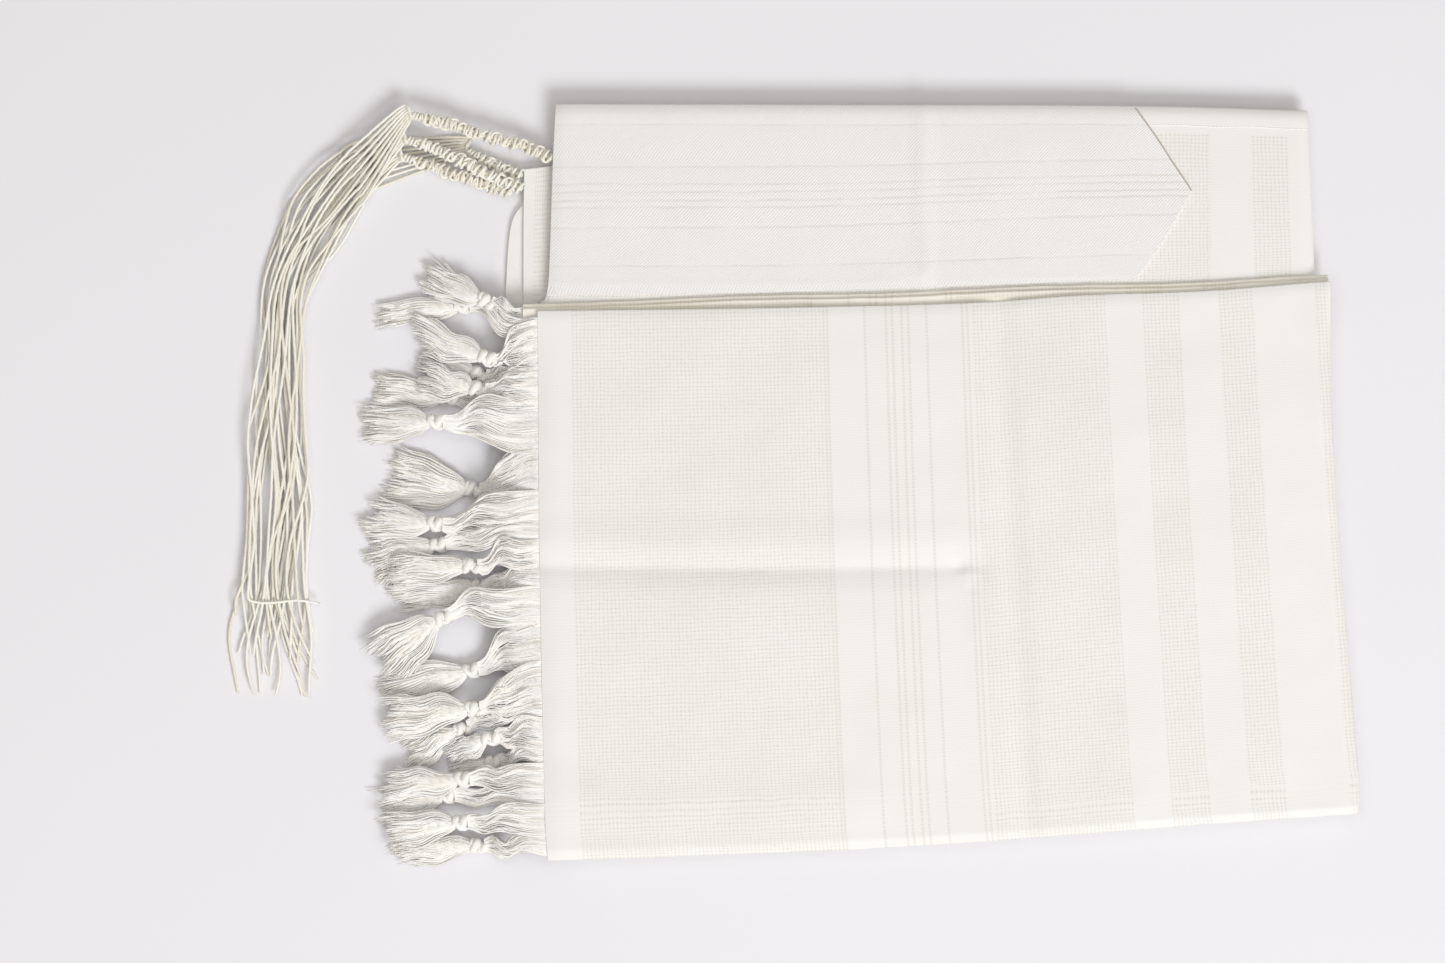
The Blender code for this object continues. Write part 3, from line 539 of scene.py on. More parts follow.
def make_front_panel(material):
    """The topmost layer with its stripes, cross crease, long trough and pucker."""
    surface = patch(FRONT_TOP, FRONT_BOTTOM, FRONT_LEFT, FRONT_RIGHT)

    def place(u, v):
        flat = surface(u, v)
        return Vector((flat.x, flat.y, front_height(u, v, flat)))

    across = sorted(set(even(190)) | {0.0015, 0.003, 0.9955, 0.9985})
    down = sorted(set(even(132)) | {0.0015, 0.9962, 0.9985})
    return shell("front_panel_cloth", place, front_cut, across, down, CLOTH, material)


upper_surface = patch(UPPER_TOP, UPPER_BOTTOM, UPPER_LEFT, UPPER_RIGHT)
# The upper panel's last stripes: start and end across it, place on the cut cloth and width there
UPPER_STRIPES = ((0.858, 0.917, 333.4, 18.4), (0.917, 0.971, 352.8, 18.3), (0.971, 1.0, 372.0, 12.0))
TURNED_EDGE = 15.0


def upper_underside(u, v):
    """A point of the upper panel's underside."""
    flat = upper_surface(u, v)
    return Vector((flat.x, flat.y, upper_height(flat, u, v)))


def upper_cut(point, u, v):
    """Place on the cut cloth: the hemmed top edge is plain, and the stripes run down from it."""
    down = v * UPPER_DEPTH
    if down < TURNED_EDGE:
        return 3.0 + (u * UPPER_WIDTH) % 4.0, down
    for start, stop, place, width in reversed(UPPER_STRIPES):
        if u >= start:
            return place + (u - start) / (stop - start) * width, down
    return 22.0 + abs(((u - 0.7) * UPPER_WIDTH + 120) % 240 - 120), down


def make_upper_panel(material):
    """The layer under the neckband, which shows past the band's point."""
    across = sorted(set(even(150)) | {0.002, 0.8577, 0.858, 0.9167, 0.917, 0.9707, 0.971, 0.9975})
    down = sorted(set(even(52)) | {0.006, 0.1338, 0.1342})
    return shell("upper_panel_cloth", upper_underside, upper_cut, across, down, CLOTH, material)


def band_place(a, v):
    """A point of the neckband's underside: a runs to its pointed end and v down."""
    even_u = 0.70
    if v < ARROW_TIP_V:
        end_x = ARROW_TOP_X + (ARROW_TIP_X - ARROW_TOP_X) * v / ARROW_TIP_V
    else:
        end_x = ARROW_TIP_X + (ARROW_FOOT_X - ARROW_TIP_X) * (v - ARROW_TIP_V) / (BAND_END_V - ARROW_TIP_V)
    start = upper_surface(0, v)
    stop = upper_surface(1, v)
    end_u = (end_x - start.x) / (stop.x - start.x)
    for step in range(4):
        end_u += (end_x - upper_surface(end_u, v).x) / (stop.x - start.x)
    u = a if a <= even_u else even_u + (a - even_u) / (1 - even_u) * (end_u - even_u)
    return upper_underside(u, v) + Vector((0, 0, CLOTH + GAP))


def make_atarah(material):
    """The neckband, which lies on the upper panel and ends in a point."""
    across = sorted(set(even(130)) | {0.70, 0.998})
    down = sorted(set(k * BAND_END_V / 48 for k in range(49)) | {ARROW_TIP_V, 0.004, BAND_END_V - 0.004})

    def measure(point, a, v):
        lean = 0.022 * (point.x + 50) + 0.5 * math.sin(point.x / 37)
        return point.x - UPPER_TOP[0][0], v * UPPER_DEPTH + lean * bump(v - 0.42, 0.48)

    return shell("atarah_band", band_place, measure, across, down, BAND_THICKNESS, material, 0.15)


def make_lip(name, back, low, high, seed, material):
    """A folded edge that looks out above the front panel, with a round, slightly wavy nose."""
    nose = (high - low) / 2
    profile = [(-LIP_DEPTH, low), (-nose * 2.5, low)]
    for k in range(9):
        angle = -math.pi / 2 + math.pi * k / 8
        profile.append((-nose + nose * math.cos(angle), low + nose + nose * math.sin(angle)))
    profile += [(-nose * 2.5, high), (-LIP_DEPTH, high)]
    stations = 170
    points = []
    cut = []
    for k in range(stations):
        edge = spline(LIP_EDGE, k / (stations - 1))
        wave = 0.35 * math.sin(edge.x / 23) + 0.3 * swell(edge.x, seed, 14, 3.0)
        for number, (depth, height) in enumerate(profile):
            reach = depth if depth > -LIP_DEPTH else depth + back
            points.append(Vector((edge.x, edge.y - back + reach + wave * (depth > -LIP_DEPTH), height)))
            cut.append((edge.x - FRONT_TOP[0][0] + 8, number * 1.1 + 2 * seed))
    count = len(profile)
    faces = []
    for k in range(stations - 1):
        for i in range(count):
            n = (i + 1) % count
            a = k * count
            b = a + count
            faces.append((a + i, a + n, b + n, b + i))
    faces.append(tuple(range(count)))
    faces.append(tuple((stations - 1) * count + i for i in range(count)))
    return new_piece(name, points, faces, material, cut, 60)


def make_corner_layer(name, top_y, left, right_x, low, thickness, stripe_start, material):
    """A lower layer of the fold that looks out at the left of the neckband."""
    bottom_y = left[-1][1]
    surface = patch(((left[0][0], left[0][1]), (right_x[0], top_y)),
                    ((left[-1][0], bottom_y), (right_x[1], bottom_y)),
                    left, ((right_x[0], top_y), (right_x[1], bottom_y)))

    def under(u, v):
        flat = surface(u, v)
        crown = 0.25 * swell(flat.x, flat.y, 15, low) * bump(u - 0.5, 0.5)
        return Vector((flat.x, flat.y, low + max(crown, 0) * 0.3))

    def measure(point, u, v):
        return stripe_start + u * 24, v * 60

    return shell(name, under, measure, even(24), even(46), thickness, material, 0.4)


def stack_outline(front, inset, height, shift, seed):
    """One outline of the hidden layers at a height, slightly wavy as folded cloth is."""
    top = FRONT_TOP if front else UPPER_TOP
    points = []
    side_steps = 28
    shoulder = 6
    for k in range(side_steps):
        points.append(spline(FRONT_LEFT, 1 - 0.96 * k / side_steps))
    if front:
        for k in range(2 * shoulder + 30):
            p = spline(top, k / (2 * shoulder + 29))
            points.append(Vector((p.x, p.y - 8.0)))
    else:
        for k in range(shoulder):
            points.append(spline(UPPER_LEFT, 1 - (k + 0.3) / shoulder * 0.97))
        for k in range(30):
            points.append(spline(top, k / 29))
        for k in range(shoulder):
            points.append(spline(UPPER_RIGHT, (k + 1) / (shoulder + 0.3)))
    for k in range(side_steps):
        points.append(spline(FRONT_RIGHT, 0.04 + 0.96 * (k + 1) / side_steps))
    for k in range(1, 32):
        points.append(spline(FRONT_BOTTOM, 1 - k / 32))
    centre = Vector((0, -40.0)) if front else Vector((-4.0, 0.0))
    half = Vector((205.0, 145.0)) if front else Vector((205.0, 195.0))
    moved = []
    for p in points:
        depth = inset + (0.55 * swell(p.x, p.y, 30, seed) if inset < 12 else 0)
        away = p - centre
        moved.append(Vector((centre.x + away.x * (1 - depth / half.x) + shift,
                             centre.y + away.y * (1 - depth / half.y), height)))
    return moved


def make_stack(material):
    """The hidden layers: folded edges one on another, with a soft groove between each and the next."""
    rings = [stack_outline(False, 3.4, 0.0, 0.0, 0)]
    for base, top, folds, front, insets, last in (
            (0.0, LOWER_STACK, 8, False, (2.0, 2.3, 1.9, 2.2, 2.0, 2.4, 3.0, 4.0), 8.0),
            (LOWER_STACK, FRONT_STACK, 4, True, (2.7, 3.2, 4.4, 5.6), 9.0)):
        rise = (top - base) / folds
        if front:
            rings.append(stack_outline(True, 17.0, base, 0.0, 0))
        for k in range(folds):
            low = base + k * rise
            shift = 0.35 * math.sin(2.3 * k + base)
            groove = insets[k] + 1.5 if k < folds - 1 else last
            for out, part in ((0.45, 0.18), (0.0, 0.5), (0.45, 0.82)):
                rings.append(stack_outline(front, insets[k] + out, low + rise * part, shift, k + base))
            rings.append(stack_outline(front, groove, low + rise, 0.0, 0))
    count = len(rings[0])
    points = []
    cut = []
    for number, ring in enumerate(rings):
        for k, p in enumerate(ring):
            points.append(p)
            cut.append((2.0 + 4.0 * number / len(rings), 2.6 * k))
    faces = []
    for r in range(len(rings) - 1):
        for k in range(count):
            n = (k + 1) % count
            faces.append((r * count + k, r * count + n, (r + 1) * count + n, (r + 1) * count + k))
    faces.append(tuple(range(count)))
    faces.append(tuple((len(rings) - 1) * count + k for k in range(count)))
    return new_piece("folded_layers", points, faces, material, cut, 70)


def begin_tree(name, sizes):
    """A Geometry Nodes tree with its named sizes and their defaults, and its inputs."""
    tree = bpy.data.node_groups.new(name, "GeometryNodeTree")
    tree.interface.new_socket("Geometry", in_out="INPUT", socket_type="NodeSocketGeometry")
    for label, value in sizes:
        kind = "NodeSocketInt" if isinstance(value, int) else "NodeSocketFloat"
        tree.interface.new_socket(label, in_out="INPUT", socket_type=kind).default_value = value
    tree.interface.new_socket("Geometry", in_out="OUTPUT", socket_type="NodeSocketGeometry")
    return tree, add(tree, "NodeGroupInput").outputs


def yarn_tree(name, lobes, material):
    """A Geometry Nodes tree that turns runs of edges into smooth yarns, round or made of plies."""
    tree, given = begin_tree(name, (("Step", 0.002), ("Girth", 1.0), ("Turns a metre", 0.0), ("Sides", 4),
                                    ("Groove", 0.7)))
    runs = add(tree, "GeometryNodeMeshToCurve", {"Mesh": given["Geometry"]})
    smooth = add(tree, "GeometryNodeCurveSplineType", {"Curve": runs}, spline_type="CATMULL_ROM")
    stepped = add(tree, "GeometryNodeResampleCurve", {"Curve": smooth, "Length": given["Step"]},
                  mode="LENGTH")
    girth = add(tree, "GeometryNodeInputNamedAttribute", {"Name": "girth"}, data_type="FLOAT")
    radius = add(tree, "ShaderNodeMath", {0: girth, 1: given["Girth"]}, operation="MULTIPLY")
    along = add(tree, "GeometryNodeSplineParameter")
    turns = add(tree, "ShaderNodeMath", {0: along.outputs["Length"], 1: given["Turns a metre"]},
                operation="MULTIPLY")
    angle = add(tree, "ShaderNodeMath", {0: turns, 1: 2 * math.pi}, operation="MULTIPLY")
    twisted = add(tree, "GeometryNodeSetCurveTilt", {"Curve": stepped, "Tilt": angle})
    if lobes:
        profile = add(tree, "GeometryNodeCurveStar",
                      {"Points": lobes, "Inner Radius": given["Groove"], "Outer Radius": 1.0, "Twist": 0.0})
    else:
        profile = add(tree, "GeometryNodeCurvePrimitiveCircle", {"Resolution": given["Sides"], "Radius": 1.0},
                      mode="RADIUS")
    tube = add(tree, "GeometryNodeCurveToMesh",
               {"Curve": twisted, "Profile Curve": profile.outputs["Curve"], "Scale": radius, "Fill Caps": True})
    even_shade = add(tree, "GeometryNodeSetShadeSmooth", {"Geometry": tube, "Shade Smooth": True})
    real = add(tree, "GeometryNodeRealizeInstances", {"Geometry": even_shade})
    finished = add(tree, "GeometryNodeSetMaterial", {"Geometry": real, "Material": material})
    add(tree, "NodeGroupOutput", {0: finished})
    return tree


def stitch_tree(name, material):
    """A Geometry Nodes tree that lays small round-ended stitches along runs of edges."""
    tree, given = begin_tree(name, (("Pitch", 0.003), ("Length", 0.0022), ("Width", 0.0006)))
    runs = add(tree, "GeometryNodeMeshToCurve", {"Mesh": given["Geometry"]})
    points = add(tree, "GeometryNodeCurveToPoints", {"Curve": runs, "Length": given["Pitch"]}, mode="LENGTH")
    turned = add(tree, "FunctionNodeAlignRotationToVector", {"Vector": points.outputs["Tangent"]}, axis="X")
    bead = add(tree, "GeometryNodeMeshIcoSphere", {"Radius": 0.5, "Subdivisions": 2})
    size = add(tree, "ShaderNodeCombineXYZ", {0: given["Length"], 1: given["Width"], 2: given["Width"]})
    laid = add(tree, "GeometryNodeInstanceOnPoints",
               {"Points": points.outputs["Points"], "Instance": bead.outputs["Mesh"], "Rotation": turned,
                "Scale": size})
    real = add(tree, "GeometryNodeRealizeInstances", {"Geometry": laid})
    even_shade = add(tree, "GeometryNodeSetShadeSmooth", {"Geometry": real, "Shade Smooth": True})
    finished = add(tree, "GeometryNodeSetMaterial", {"Geometry": even_shade, "Material": material})
    add(tree, "NodeGroupOutput", {0: finished})
    return tree


def run_mesh(name, strands):
    """A mesh of bare runs: each strand is its points, its radii and its tone."""
    points = []
    edges = []
    girths = []
    tones = []
    for path, radii, tone in strands:
        first = len(points)
        points += [tuple(p * MM) for p in path]
        edges += [(first + k, first + k + 1) for k in range(len(path) - 1)]
        girths += [radius * MM for radius in radii]
        tones += [tone] * len(path)
    mesh = bpy.data.meshes.new(name)
    mesh.from_pydata(points, edges, [])
    mesh.attributes.new("girth", "FLOAT", "POINT").data.foreach_set("value", girths)
    mesh.attributes.new("tone", "FLOAT", "POINT").data.foreach_set("value", tones)
    return mesh


def grown(name, mesh, tree, sizes):
    """The plain mesh that a Geometry Nodes tree makes of a run mesh, with its named sizes set."""
    host = bpy.data.objects.new(name, mesh)
    scene.collection.objects.link(host)
    modifier = host.modifiers.new("grow", "NODES")
    modifier.node_group = tree
    for socket in tree.interface.items_tree:
        if socket.in_out == "INPUT" and socket.name in sizes:
            modifier[socket.identifier] = sizes[socket.name]
    graph = bpy.context.evaluated_depsgraph_get()
    made = bpy.data.meshes.new_from_object(host.evaluated_get(graph))
    host.modifiers.clear()
    bpy.data.objects.remove(host)
    return made


def joined(name, meshes, material):
    """One piece from several plain meshes that share a finish."""
    work = bmesh.new()
    for mesh in meshes:
        work.from_mesh(mesh)
    whole = bpy.data.meshes.new(name)
    work.to_mesh(whole)
    work.free()
    whole.materials.clear()
    whole.materials.append(material)
    whole.shade_smooth()
    piece = bpy.data.objects.new(name, whole)
    scene.collection.objects.link(piece)
    return piece


def bezier(a, b, c, d, t):
    """A point on the curve from a to d that leaves towards b and arrives from c."""
    s = 1 - t
    return a * s ** 3 + b * (3 * s * s * t) + c * (3 * s * t * t) + d * t ** 3


def frame_along(direction):
    """Sideways and upward directions across a direction."""
    side = direction.cross(Vector((0, 0, 1))).normalized()
    return side, side.cross(direction).normalized()


def hem_point(y):
    """A point in the edge of the front panel's hem."""
    v = clamp((HEM_TOP_Y - y) / FRONT_DEPTH)
    edge = spline(FRONT_LEFT, v)
    return Vector((edge.x + 0.9, y, front_height(0, v, edge) + CLOTH * 0.5))


def fan_threads(number, place, knot_start, along, draw):
    """The yarns from the hem to the knot: a thin curtain that waves and gathers."""
    level = place["level"]
    count = int(26 + place["reach"] * 5.2)
    wave = draw.uniform(1.6, 3.2) * draw.choice((-1, 1))
    phase = draw.uniform(0, 2 * math.pi)
    side = Vector((-along.y, along.x, 0))
    if side.y < 0:
        side = -side
    strands = []
    for k in range(count):
        rank = 1 - 2 * (k + 0.5) / count
        layer = k % 3
        start = hem_point(place["hem_y"] + place["reach"] * 0.7 * rank)
        start.z -= 0.25 * layer
        if place["hem_y"] > 86:
            start.x = LIP_EDGE[0][0] + 1.5
            start.z = 14.8 - 0.3 * layer
        end = knot_start + side * rank * 3.4 + Vector((0, 0, 1.9 - 1.5 * layer))
        distance = (end - start).length
        leave = start + Vector((-0.62 * distance, 0, -0.06 * (1 - level) * distance))
        arrive = end - along * 0.26 * distance + side * rank * 2.0
        arrive.z = end.z + 0.8
        own = draw.uniform(-0.35, 0.35) * (4 if k % 11 == 4 else 1)
        path = []
        points = 15
        for n in range(points):
            t = n / (points - 1)
            p = bezier(start, leave, arrive, end, t)
            sway = wave * math.sin(2.2 * math.pi * t + phase + 0.5 * rank)
            sway += own * math.sin(5 * math.pi * t + k)
            clump = noise.noise(Vector((t * 2.6, rank * 2.6, number + 0.37 * layer)))
            p += Vector((0, (sway + 3.6 * clump) * math.sin(math.pi * t), 0))
            lifted = noise.noise(Vector((t * 2.2, rank * 3.4, number + 20.0)))
            rise = 0.9 * math.sin(3 * math.pi * t + phase) + 2.4 * lifted
            p.z += rise * math.sin(math.pi * t) + 0.2 * own
            p.z = max(p.z, 0.5)
            path.append(p)
        strands.append((path, [THREAD_RADIUS] * points, draw.random() ** 3))
    return strands


def tip_threads(place, knot_end, along, draw):
    """The yarns past the knot: a plump, smooth bundle that splays to uneven frayed ends."""
    tip = Vector((place["tip_x"], place["tip_y"], place["tip_z"]))
    flat = Vector((tip.x - knot_end.x, tip.y - knot_end.y, 0))
    length = flat.length
    flat.normalize()
    side = Vector((-flat.y, flat.x, 0))
    spread = place["spread"] * 0.72
    count = int(96 + 6.4 * place["spread"])
    wave = draw.uniform(0.8, 2.0) * draw.choice((-1, 1))
    phase = draw.uniform(0, 2 * math.pi)
    strands = []
    for k in range(count):
        radius = math.sqrt((k + 0.5) / count)
        turn = k * 2.39996
        lateral = radius * math.cos(turn)
        lift = radius * math.sin(turn)
        stray = k % 13 == 5
        start = knot_end + side * lateral * 2.9 + Vector((0, 0, lift * 2.3))
        bulge = knot_end + along * 0.3 * length + side * lateral * (4.6 + spread * 0.6)
        bulge.z = knot_end.z + lift * 2.6 - 0.2 * (knot_end.z - tip.z)
        ragged = 14.0 * noise.noise(Vector((lateral * 1.3, place["tip_y"], 3.0)))
        reach = min(ragged, 4.0) + draw.uniform(-8.0, 2.5) + (draw.uniform(0, 3) if stray else 0)
        end = tip + side * (lateral * spread + draw.uniform(-1.2, 1.2) * (3.2 if stray else 1)) + flat * reach
        end.z = max(0.55, tip.z - 0.4 + 1.1 * (lift + 1) + draw.uniform(-0.2, 0.2))
        near = tip - flat * 0.32 * length + side * lateral * spread * 0.85
        near.z = max(0.55, tip.z + 1.9 * (lift + 1))
        path = []
        points = 12
        for n in range(points):
            t = n / (points - 1)
            p = bezier(start, bulge, near, end, t)
            sway = wave * math.sin(2.4 * math.pi * t + phase) * math.sin(math.pi * min(t * 1.2, 1))
            fine = 0.9 * t * noise.noise(Vector((t * 3.0, lateral * 2.8, lift * 1.6 + place["tip_y"])))
            p += side * (sway + fine * 2)
            p.z = max(p.z + fine, 0.45)
            path.append(p)
        radii = [THREAD_RADIUS] * (points - 1) + [THREAD_RADIUS * 0.5]
        strands.append((path, radii, draw.random() ** 3))
    return strands


def inner_locks(place, knot_start, knot_end, along, draw):
    """Thicker locks inside the bundle, so that no floor shows through the yarns."""
    tip = Vector((place["tip_x"], place["tip_y"], place["tip_z"] + 1.5))
    flat = Vector((tip.x - knot_end.x, tip.y - knot_end.y, 0)).normalized()
    side = Vector((-flat.y, flat.x, 0))
    locks = []
    for rank in (-0.8, -0.3, 0.25, 0.75):
        end = tip + side * rank * place["spread"] * 0.34 - flat * 5
        middle = knot_end.lerp(end, 0.5) + side * rank * 1.6
        middle.z = knot_end.z * 0.55 + end.z * 0.45
        path = [bezier(knot_end, knot_end + along * 5 + side * rank, middle, end, n / 7) for n in range(8)]
        radii = [1.6, 2.5, 2.8, 2.7, 2.3, 1.8, 1.2, 0.5]
        locks.append((path, radii, draw.random()))
    axis = [knot_start.lerp(knot_end, n / 5) for n in range(6)]
    locks.append((axis, [1.6, 2.2, 2.3, 2.3, 2.2, 1.6], 0.5))
    return locks


def knot_coils(knot, along, draw):
    """Two or three coils of the bundle wrapped round itself, with one slanting over them."""
    side, up = frame_along(along)
    turns = draw.uniform(1.3, 1.8)
    phase = draw.uniform(0, 2 * math.pi)
    path = []
    points = 42
    for n in range(points):
        t = n / (points - 1)
        angle = phase + 2 * math.pi * turns * t
        radius = 2.2 + 0.2 * math.sin(3 * angle)
        centre = knot + along * (-4.0 + 8.0 * t) + Vector((0, 0, 0.3))
        path.append(centre + side * math.cos(angle) * radius + up * math.sin(angle) * radius * 0.7)
    coils = [(path, [2.3 - 0.9 * abs(2 * n / (points - 1) - 1) ** 6 for n in range(points)], 0.35)]
    over = []
    for n in range(22):
        angle = phase + 1.3 + 2 * math.pi * 0.8 * n / 21
        centre = knot + along * (3.2 * math.sin(angle + 0.6))
        over.append(centre + side * math.cos(angle) * 3.1 + up * math.sin(angle) * 2.3)
    coils.append((over, [1.6 - 0.9 * abs(2 * n / 21 - 1) ** 4 for n in range(22)], 0.2))
    return coils


def make_tassel(number, row, trees, material):
    """One fringe tassel: curtain, wrapped knot and splayed ends, joined as one piece."""
    place = dict(zip(TASSEL_COLUMNS, row))
    draw = random.Random(300 + number)
    knot = Vector((place["knot_x"], place["knot_y"], LEVEL_KNOT_Z[place["level"]]))
    flat = Vector((place["tip_x"] - knot.x, place["tip_y"] - knot.y, 0))
    along = (flat.normalized() * 0.75 + Vector((-0.25, 0, 0))).normalized()
    knot_start = knot - along * 3.4
    knot_end = knot + along * 3.4
    threads = fan_threads(number, place, knot_start, along, draw)
    threads += tip_threads(place, knot_end, along, draw)
    locks = inner_locks(place, knot_start, knot_end, along, draw) + knot_coils(knot, along, draw)
    name = f"fringe_yarns_{number:02d}"
    meshes = [grown(name, run_mesh(name, threads), trees["thread"], {"Step": 0.0028, "Sides": 3}),
              grown(name, run_mesh(name, locks), trees["lock"],
                    {"Step": 0.0009, "Turns a metre": 28.0, "Groove": 0.8})]
    return joined(name, meshes, material)


def run_point(share, lane):
    """A point of the strings' run: share along it, lane from its outer to its inner edge."""
    outer = spline([row[:2] for row in STRING_RUN], share)
    inner = spline([row[2:] for row in STRING_RUN], share)
    return outer.lerp(inner, lane)


def make_stem(name, route, trees, material):
    """A stem wound both ways with string, uneven and crinkled, with knots between the windings."""
    draw = random.Random(name)
    length = sum((Vector(b) - Vector(a)).length for a, b in zip(route, route[1:]))
    strands = []
    core = [spline(route, n / 20) for n in range(21)]
    strands.append((core, [1.5] * 21, 0.9))
    for way, pitch, phase in ((1, 3.1, 0.0), (-1, 4.3, 1.9)):
        turns = length / pitch
        points = int(turns * 15)
        path = []
        for n in range(points + 1):
            t = n / points
            centre = spline(route, t)
            ahead = spline(route, min(t + 0.02, 1)) - spline(route, max(t - 0.02, 0))
            side, up = frame_along(ahead.normalized())
            angle = way * (2 * math.pi * turns * t + 2.4 * noise.noise(Vector((t * 17, phase, 1.0)))) + phase
            knotted = 0.75 * max(math.sin(t * length / 11 * 2 * math.pi + 1), 0) ** 3
            radius = 2.5 + knotted + 1.6 * noise.noise(Vector((t * 31, phase, 4.0)))
            radius *= 1 - 0.25 * (way < 0)
            slack = ahead.normalized() * 1.7 * noise.noise(Vector((t * 43, phase, 8.0)))
            path.append(centre + slack + side * math.cos(angle) * radius + up * math.sin(angle) * radius)
            path[-1].z = max(path[-1].z, 0.95)
        strands.append((path, [STRING_RADIUS * 0.92] * len(path), draw.random()))
    # A few slack loops stand out of the windings
    for k in range(int(length / 4.6)):
        t = (k + 0.6) / (length / 4.6)
        centre = spline(route, min(t, 0.96))
        ahead = spline(route, min(t + 0.03, 1)) - spline(route, max(t - 0.03, 0))
        side, up = frame_along(ahead.normalized())
        out = draw.choice((-1, 1))
        size = draw.uniform(1.7, 3.1)
        loop = []
        for n in range(11):
            angle = math.pi * (n / 10) * 1.15 - 0.2
            outward = side * out * (0.6 + size * math.sin(angle))
            upward = up * (0.9 + 0.5 * math.sin(angle * 2))
            loop.append(centre + ahead.normalized() * size * math.cos(angle) + outward + upward)
        strands.append((loop, [STRING_RADIUS * 0.85] * 11, draw.random()))
    made = grown(name, run_mesh(name, strands), trees["string"],
                 {"Step": 0.0008, "Turns a metre": 260.0, "Groove": 0.74})
    return joined(f"{name}_windings", [made], material)


def make_strings(name, route, layer, trees, material):
    """The eight loose strings of a tzitzit, from its last knot to their stray ends."""
    draw = random.Random(name + "strings")
    stem_end = spline(route, 1)
    along = stem_end - spline(route, 0.95)
    along.z = 0
    along.normalize()
    knot_end = stem_end + along * (GAP + 4.4)
    towards = run_point(0.12, 0.5) - Vector((stem_end.x, stem_end.y))
    turn = (along + Vector((towards.x, towards.y, 0)).normalized()).normalized()
    inward = Vector((-turn.y, turn.x, 0))
    lanes = 8
    segments = 34
    height = FLOOR_CLEAR + STRING_LAYER * layer
    floor_height = FLOOR_CLEAR + STRING_LAYER * (layer // 2)
    strands = []
    for lane_number in range(lanes):
        ring = 2 * math.pi * lane_number / lanes
        start = knot_end - along * 1.5 + inward * 1.3 * math.cos(ring) + Vector((0, 0, 1.0 * math.sin(ring)))
        second = knot_end + along * 5.5 + inward * 1.5 * (lane_number - (lanes - 1) / 2 + FAN_SHIFT[layer])
        second.z = height + EARLY_LIFT[layer]
        path = [start, knot_end.lerp(second, 0.3) + Vector((0, 0, 0.4)), second]
        lane = (lane_number * 2 + layer % 2 + 0.6) / (2 * lanes + 0.4)
        reach = 1.0 - 0.034 * ((lane_number * 3 + layer * 2) % 5)
        crosswise = layer == 3 and lane_number == 0
        if crosswise:
            reach = CROSS_REACH
        drift = draw.uniform(0, 6.3)
        wander = draw.uniform(0.1, 0.27)
        pace = draw.uniform(6, 12)
        for k in range(segments):
            share = reach * (k + 0.9) / segments
            swing = 0.05 * math.sin(share * 9 + layer * 1.9)
            swing *= min(k / 5, 1) * clamp((0.7 - share) / 0.2)
            swing += wander * math.sin(share * pace + drift) * min(k / 7, 1) * clamp((1.0 - share) / 0.2)
            place = run_point(share, min(max(lane + swing, -0.06), 1.06))
            settle = clamp((share - 0.80) / 0.15)
            lift = EARLY_LIFT[layer] * max(1 - share / 0.16, 0)
            loose = 5.0 * clamp((share - 0.78) / 0.22) * math.sin(share * 17 + drift)
            if layer == 2 and lane_number == 0:
                loose = BOW_OUT * bump(share - BOW_SHARE, BOW_SPAN)
            path.append(Vector((place.x + loose, place.y, height + lift + (floor_height - height) * settle)))
        if crosswise:
            path = path[:-2] + [Vector(p) for p in CROSS_END]
        strands.append((path, [STRING_RADIUS] * (len(path) - 1) + [STRING_RADIUS * 0.7], draw.random()))
    # The last knot
    side, up = frame_along(along)
    coil = []
    for n in range(40):
        angle = 2 * math.pi * 2.3 * n / 39
        centre = stem_end + along * (0.6 + 4.2 * n / 39)
        coil.append(centre + side * math.cos(angle) * 1.7 + up * math.sin(angle) * 1.6)
    strands.append((coil, [STRING_RADIUS] * 40, 0.4))
    made = grown(name, run_mesh(name, strands), trees["string"],
                 {"Step": 0.0011, "Turns a metre": 240.0, "Groove": 0.74})
    return joined(f"{name}_loose", [made], material)


def make_hem_stitches(tree, material):
    """The sewn line that holds the turned edge."""
    stations = 60
    starts_at = 0.775
    reaches_over = 0.222
    depth = 10.6
    on_hem = []
    for n in range(stations):
        u = starts_at + reaches_over * n / (stations - 1)
        v = (depth + 0.3 * math.sin(u * 60)) / UPPER_DEPTH
        on_hem.append(upper_underside(u, v) + Vector((0, 0, CLOTH + 0.06)))
    run = run_mesh("turned_edge_stitches", [(on_hem, [1] * stations, 0.3)])
    sewn = grown("turned_edge_stitches", run, tree, {"Pitch": 0.0021, "Length": 0.0019, "Width": 0.0005})
    return joined("turned_edge_stitches", [sewn], material)


def make_point_seam(tree, material):
    """The dark thread of the seam along the upper slanting edge of the neckband's point."""
    stations = 30
    top_v = 0.012
    run = []
    for n in range(stations):
        v = top_v + (ARROW_TIP_V - top_v) * n / (stations - 1)
        run.append(band_place(1.0, v) + Vector((0.35, 0.2, BAND_THICKNESS * 0.75)))
    seam = grown("band_point_seam", run_mesh("band_point_seam", [(run, [0.34] * stations, 1.0)]), tree,
                 {"Step": 0.002, "Sides": 6})
    return joined("band_point_seam", [seam], material)


def lit_from(name, place, target, size, energy, colour):
    """A large soft lamp that points at a target."""
    lamp = bpy.data.lights.new(name, "AREA")
    lamp.shape = "DISK"
    lamp.size = size
    lamp.energy = energy
    lamp.color = colour
    holder = bpy.data.objects.new(name, lamp)
    holder.location = place
    holder.rotation_euler = (Vector(target) - Vector(place)).to_track_quat("-Z", "Y").to_euler()
    scene.collection.objects.link(holder)
    return holder


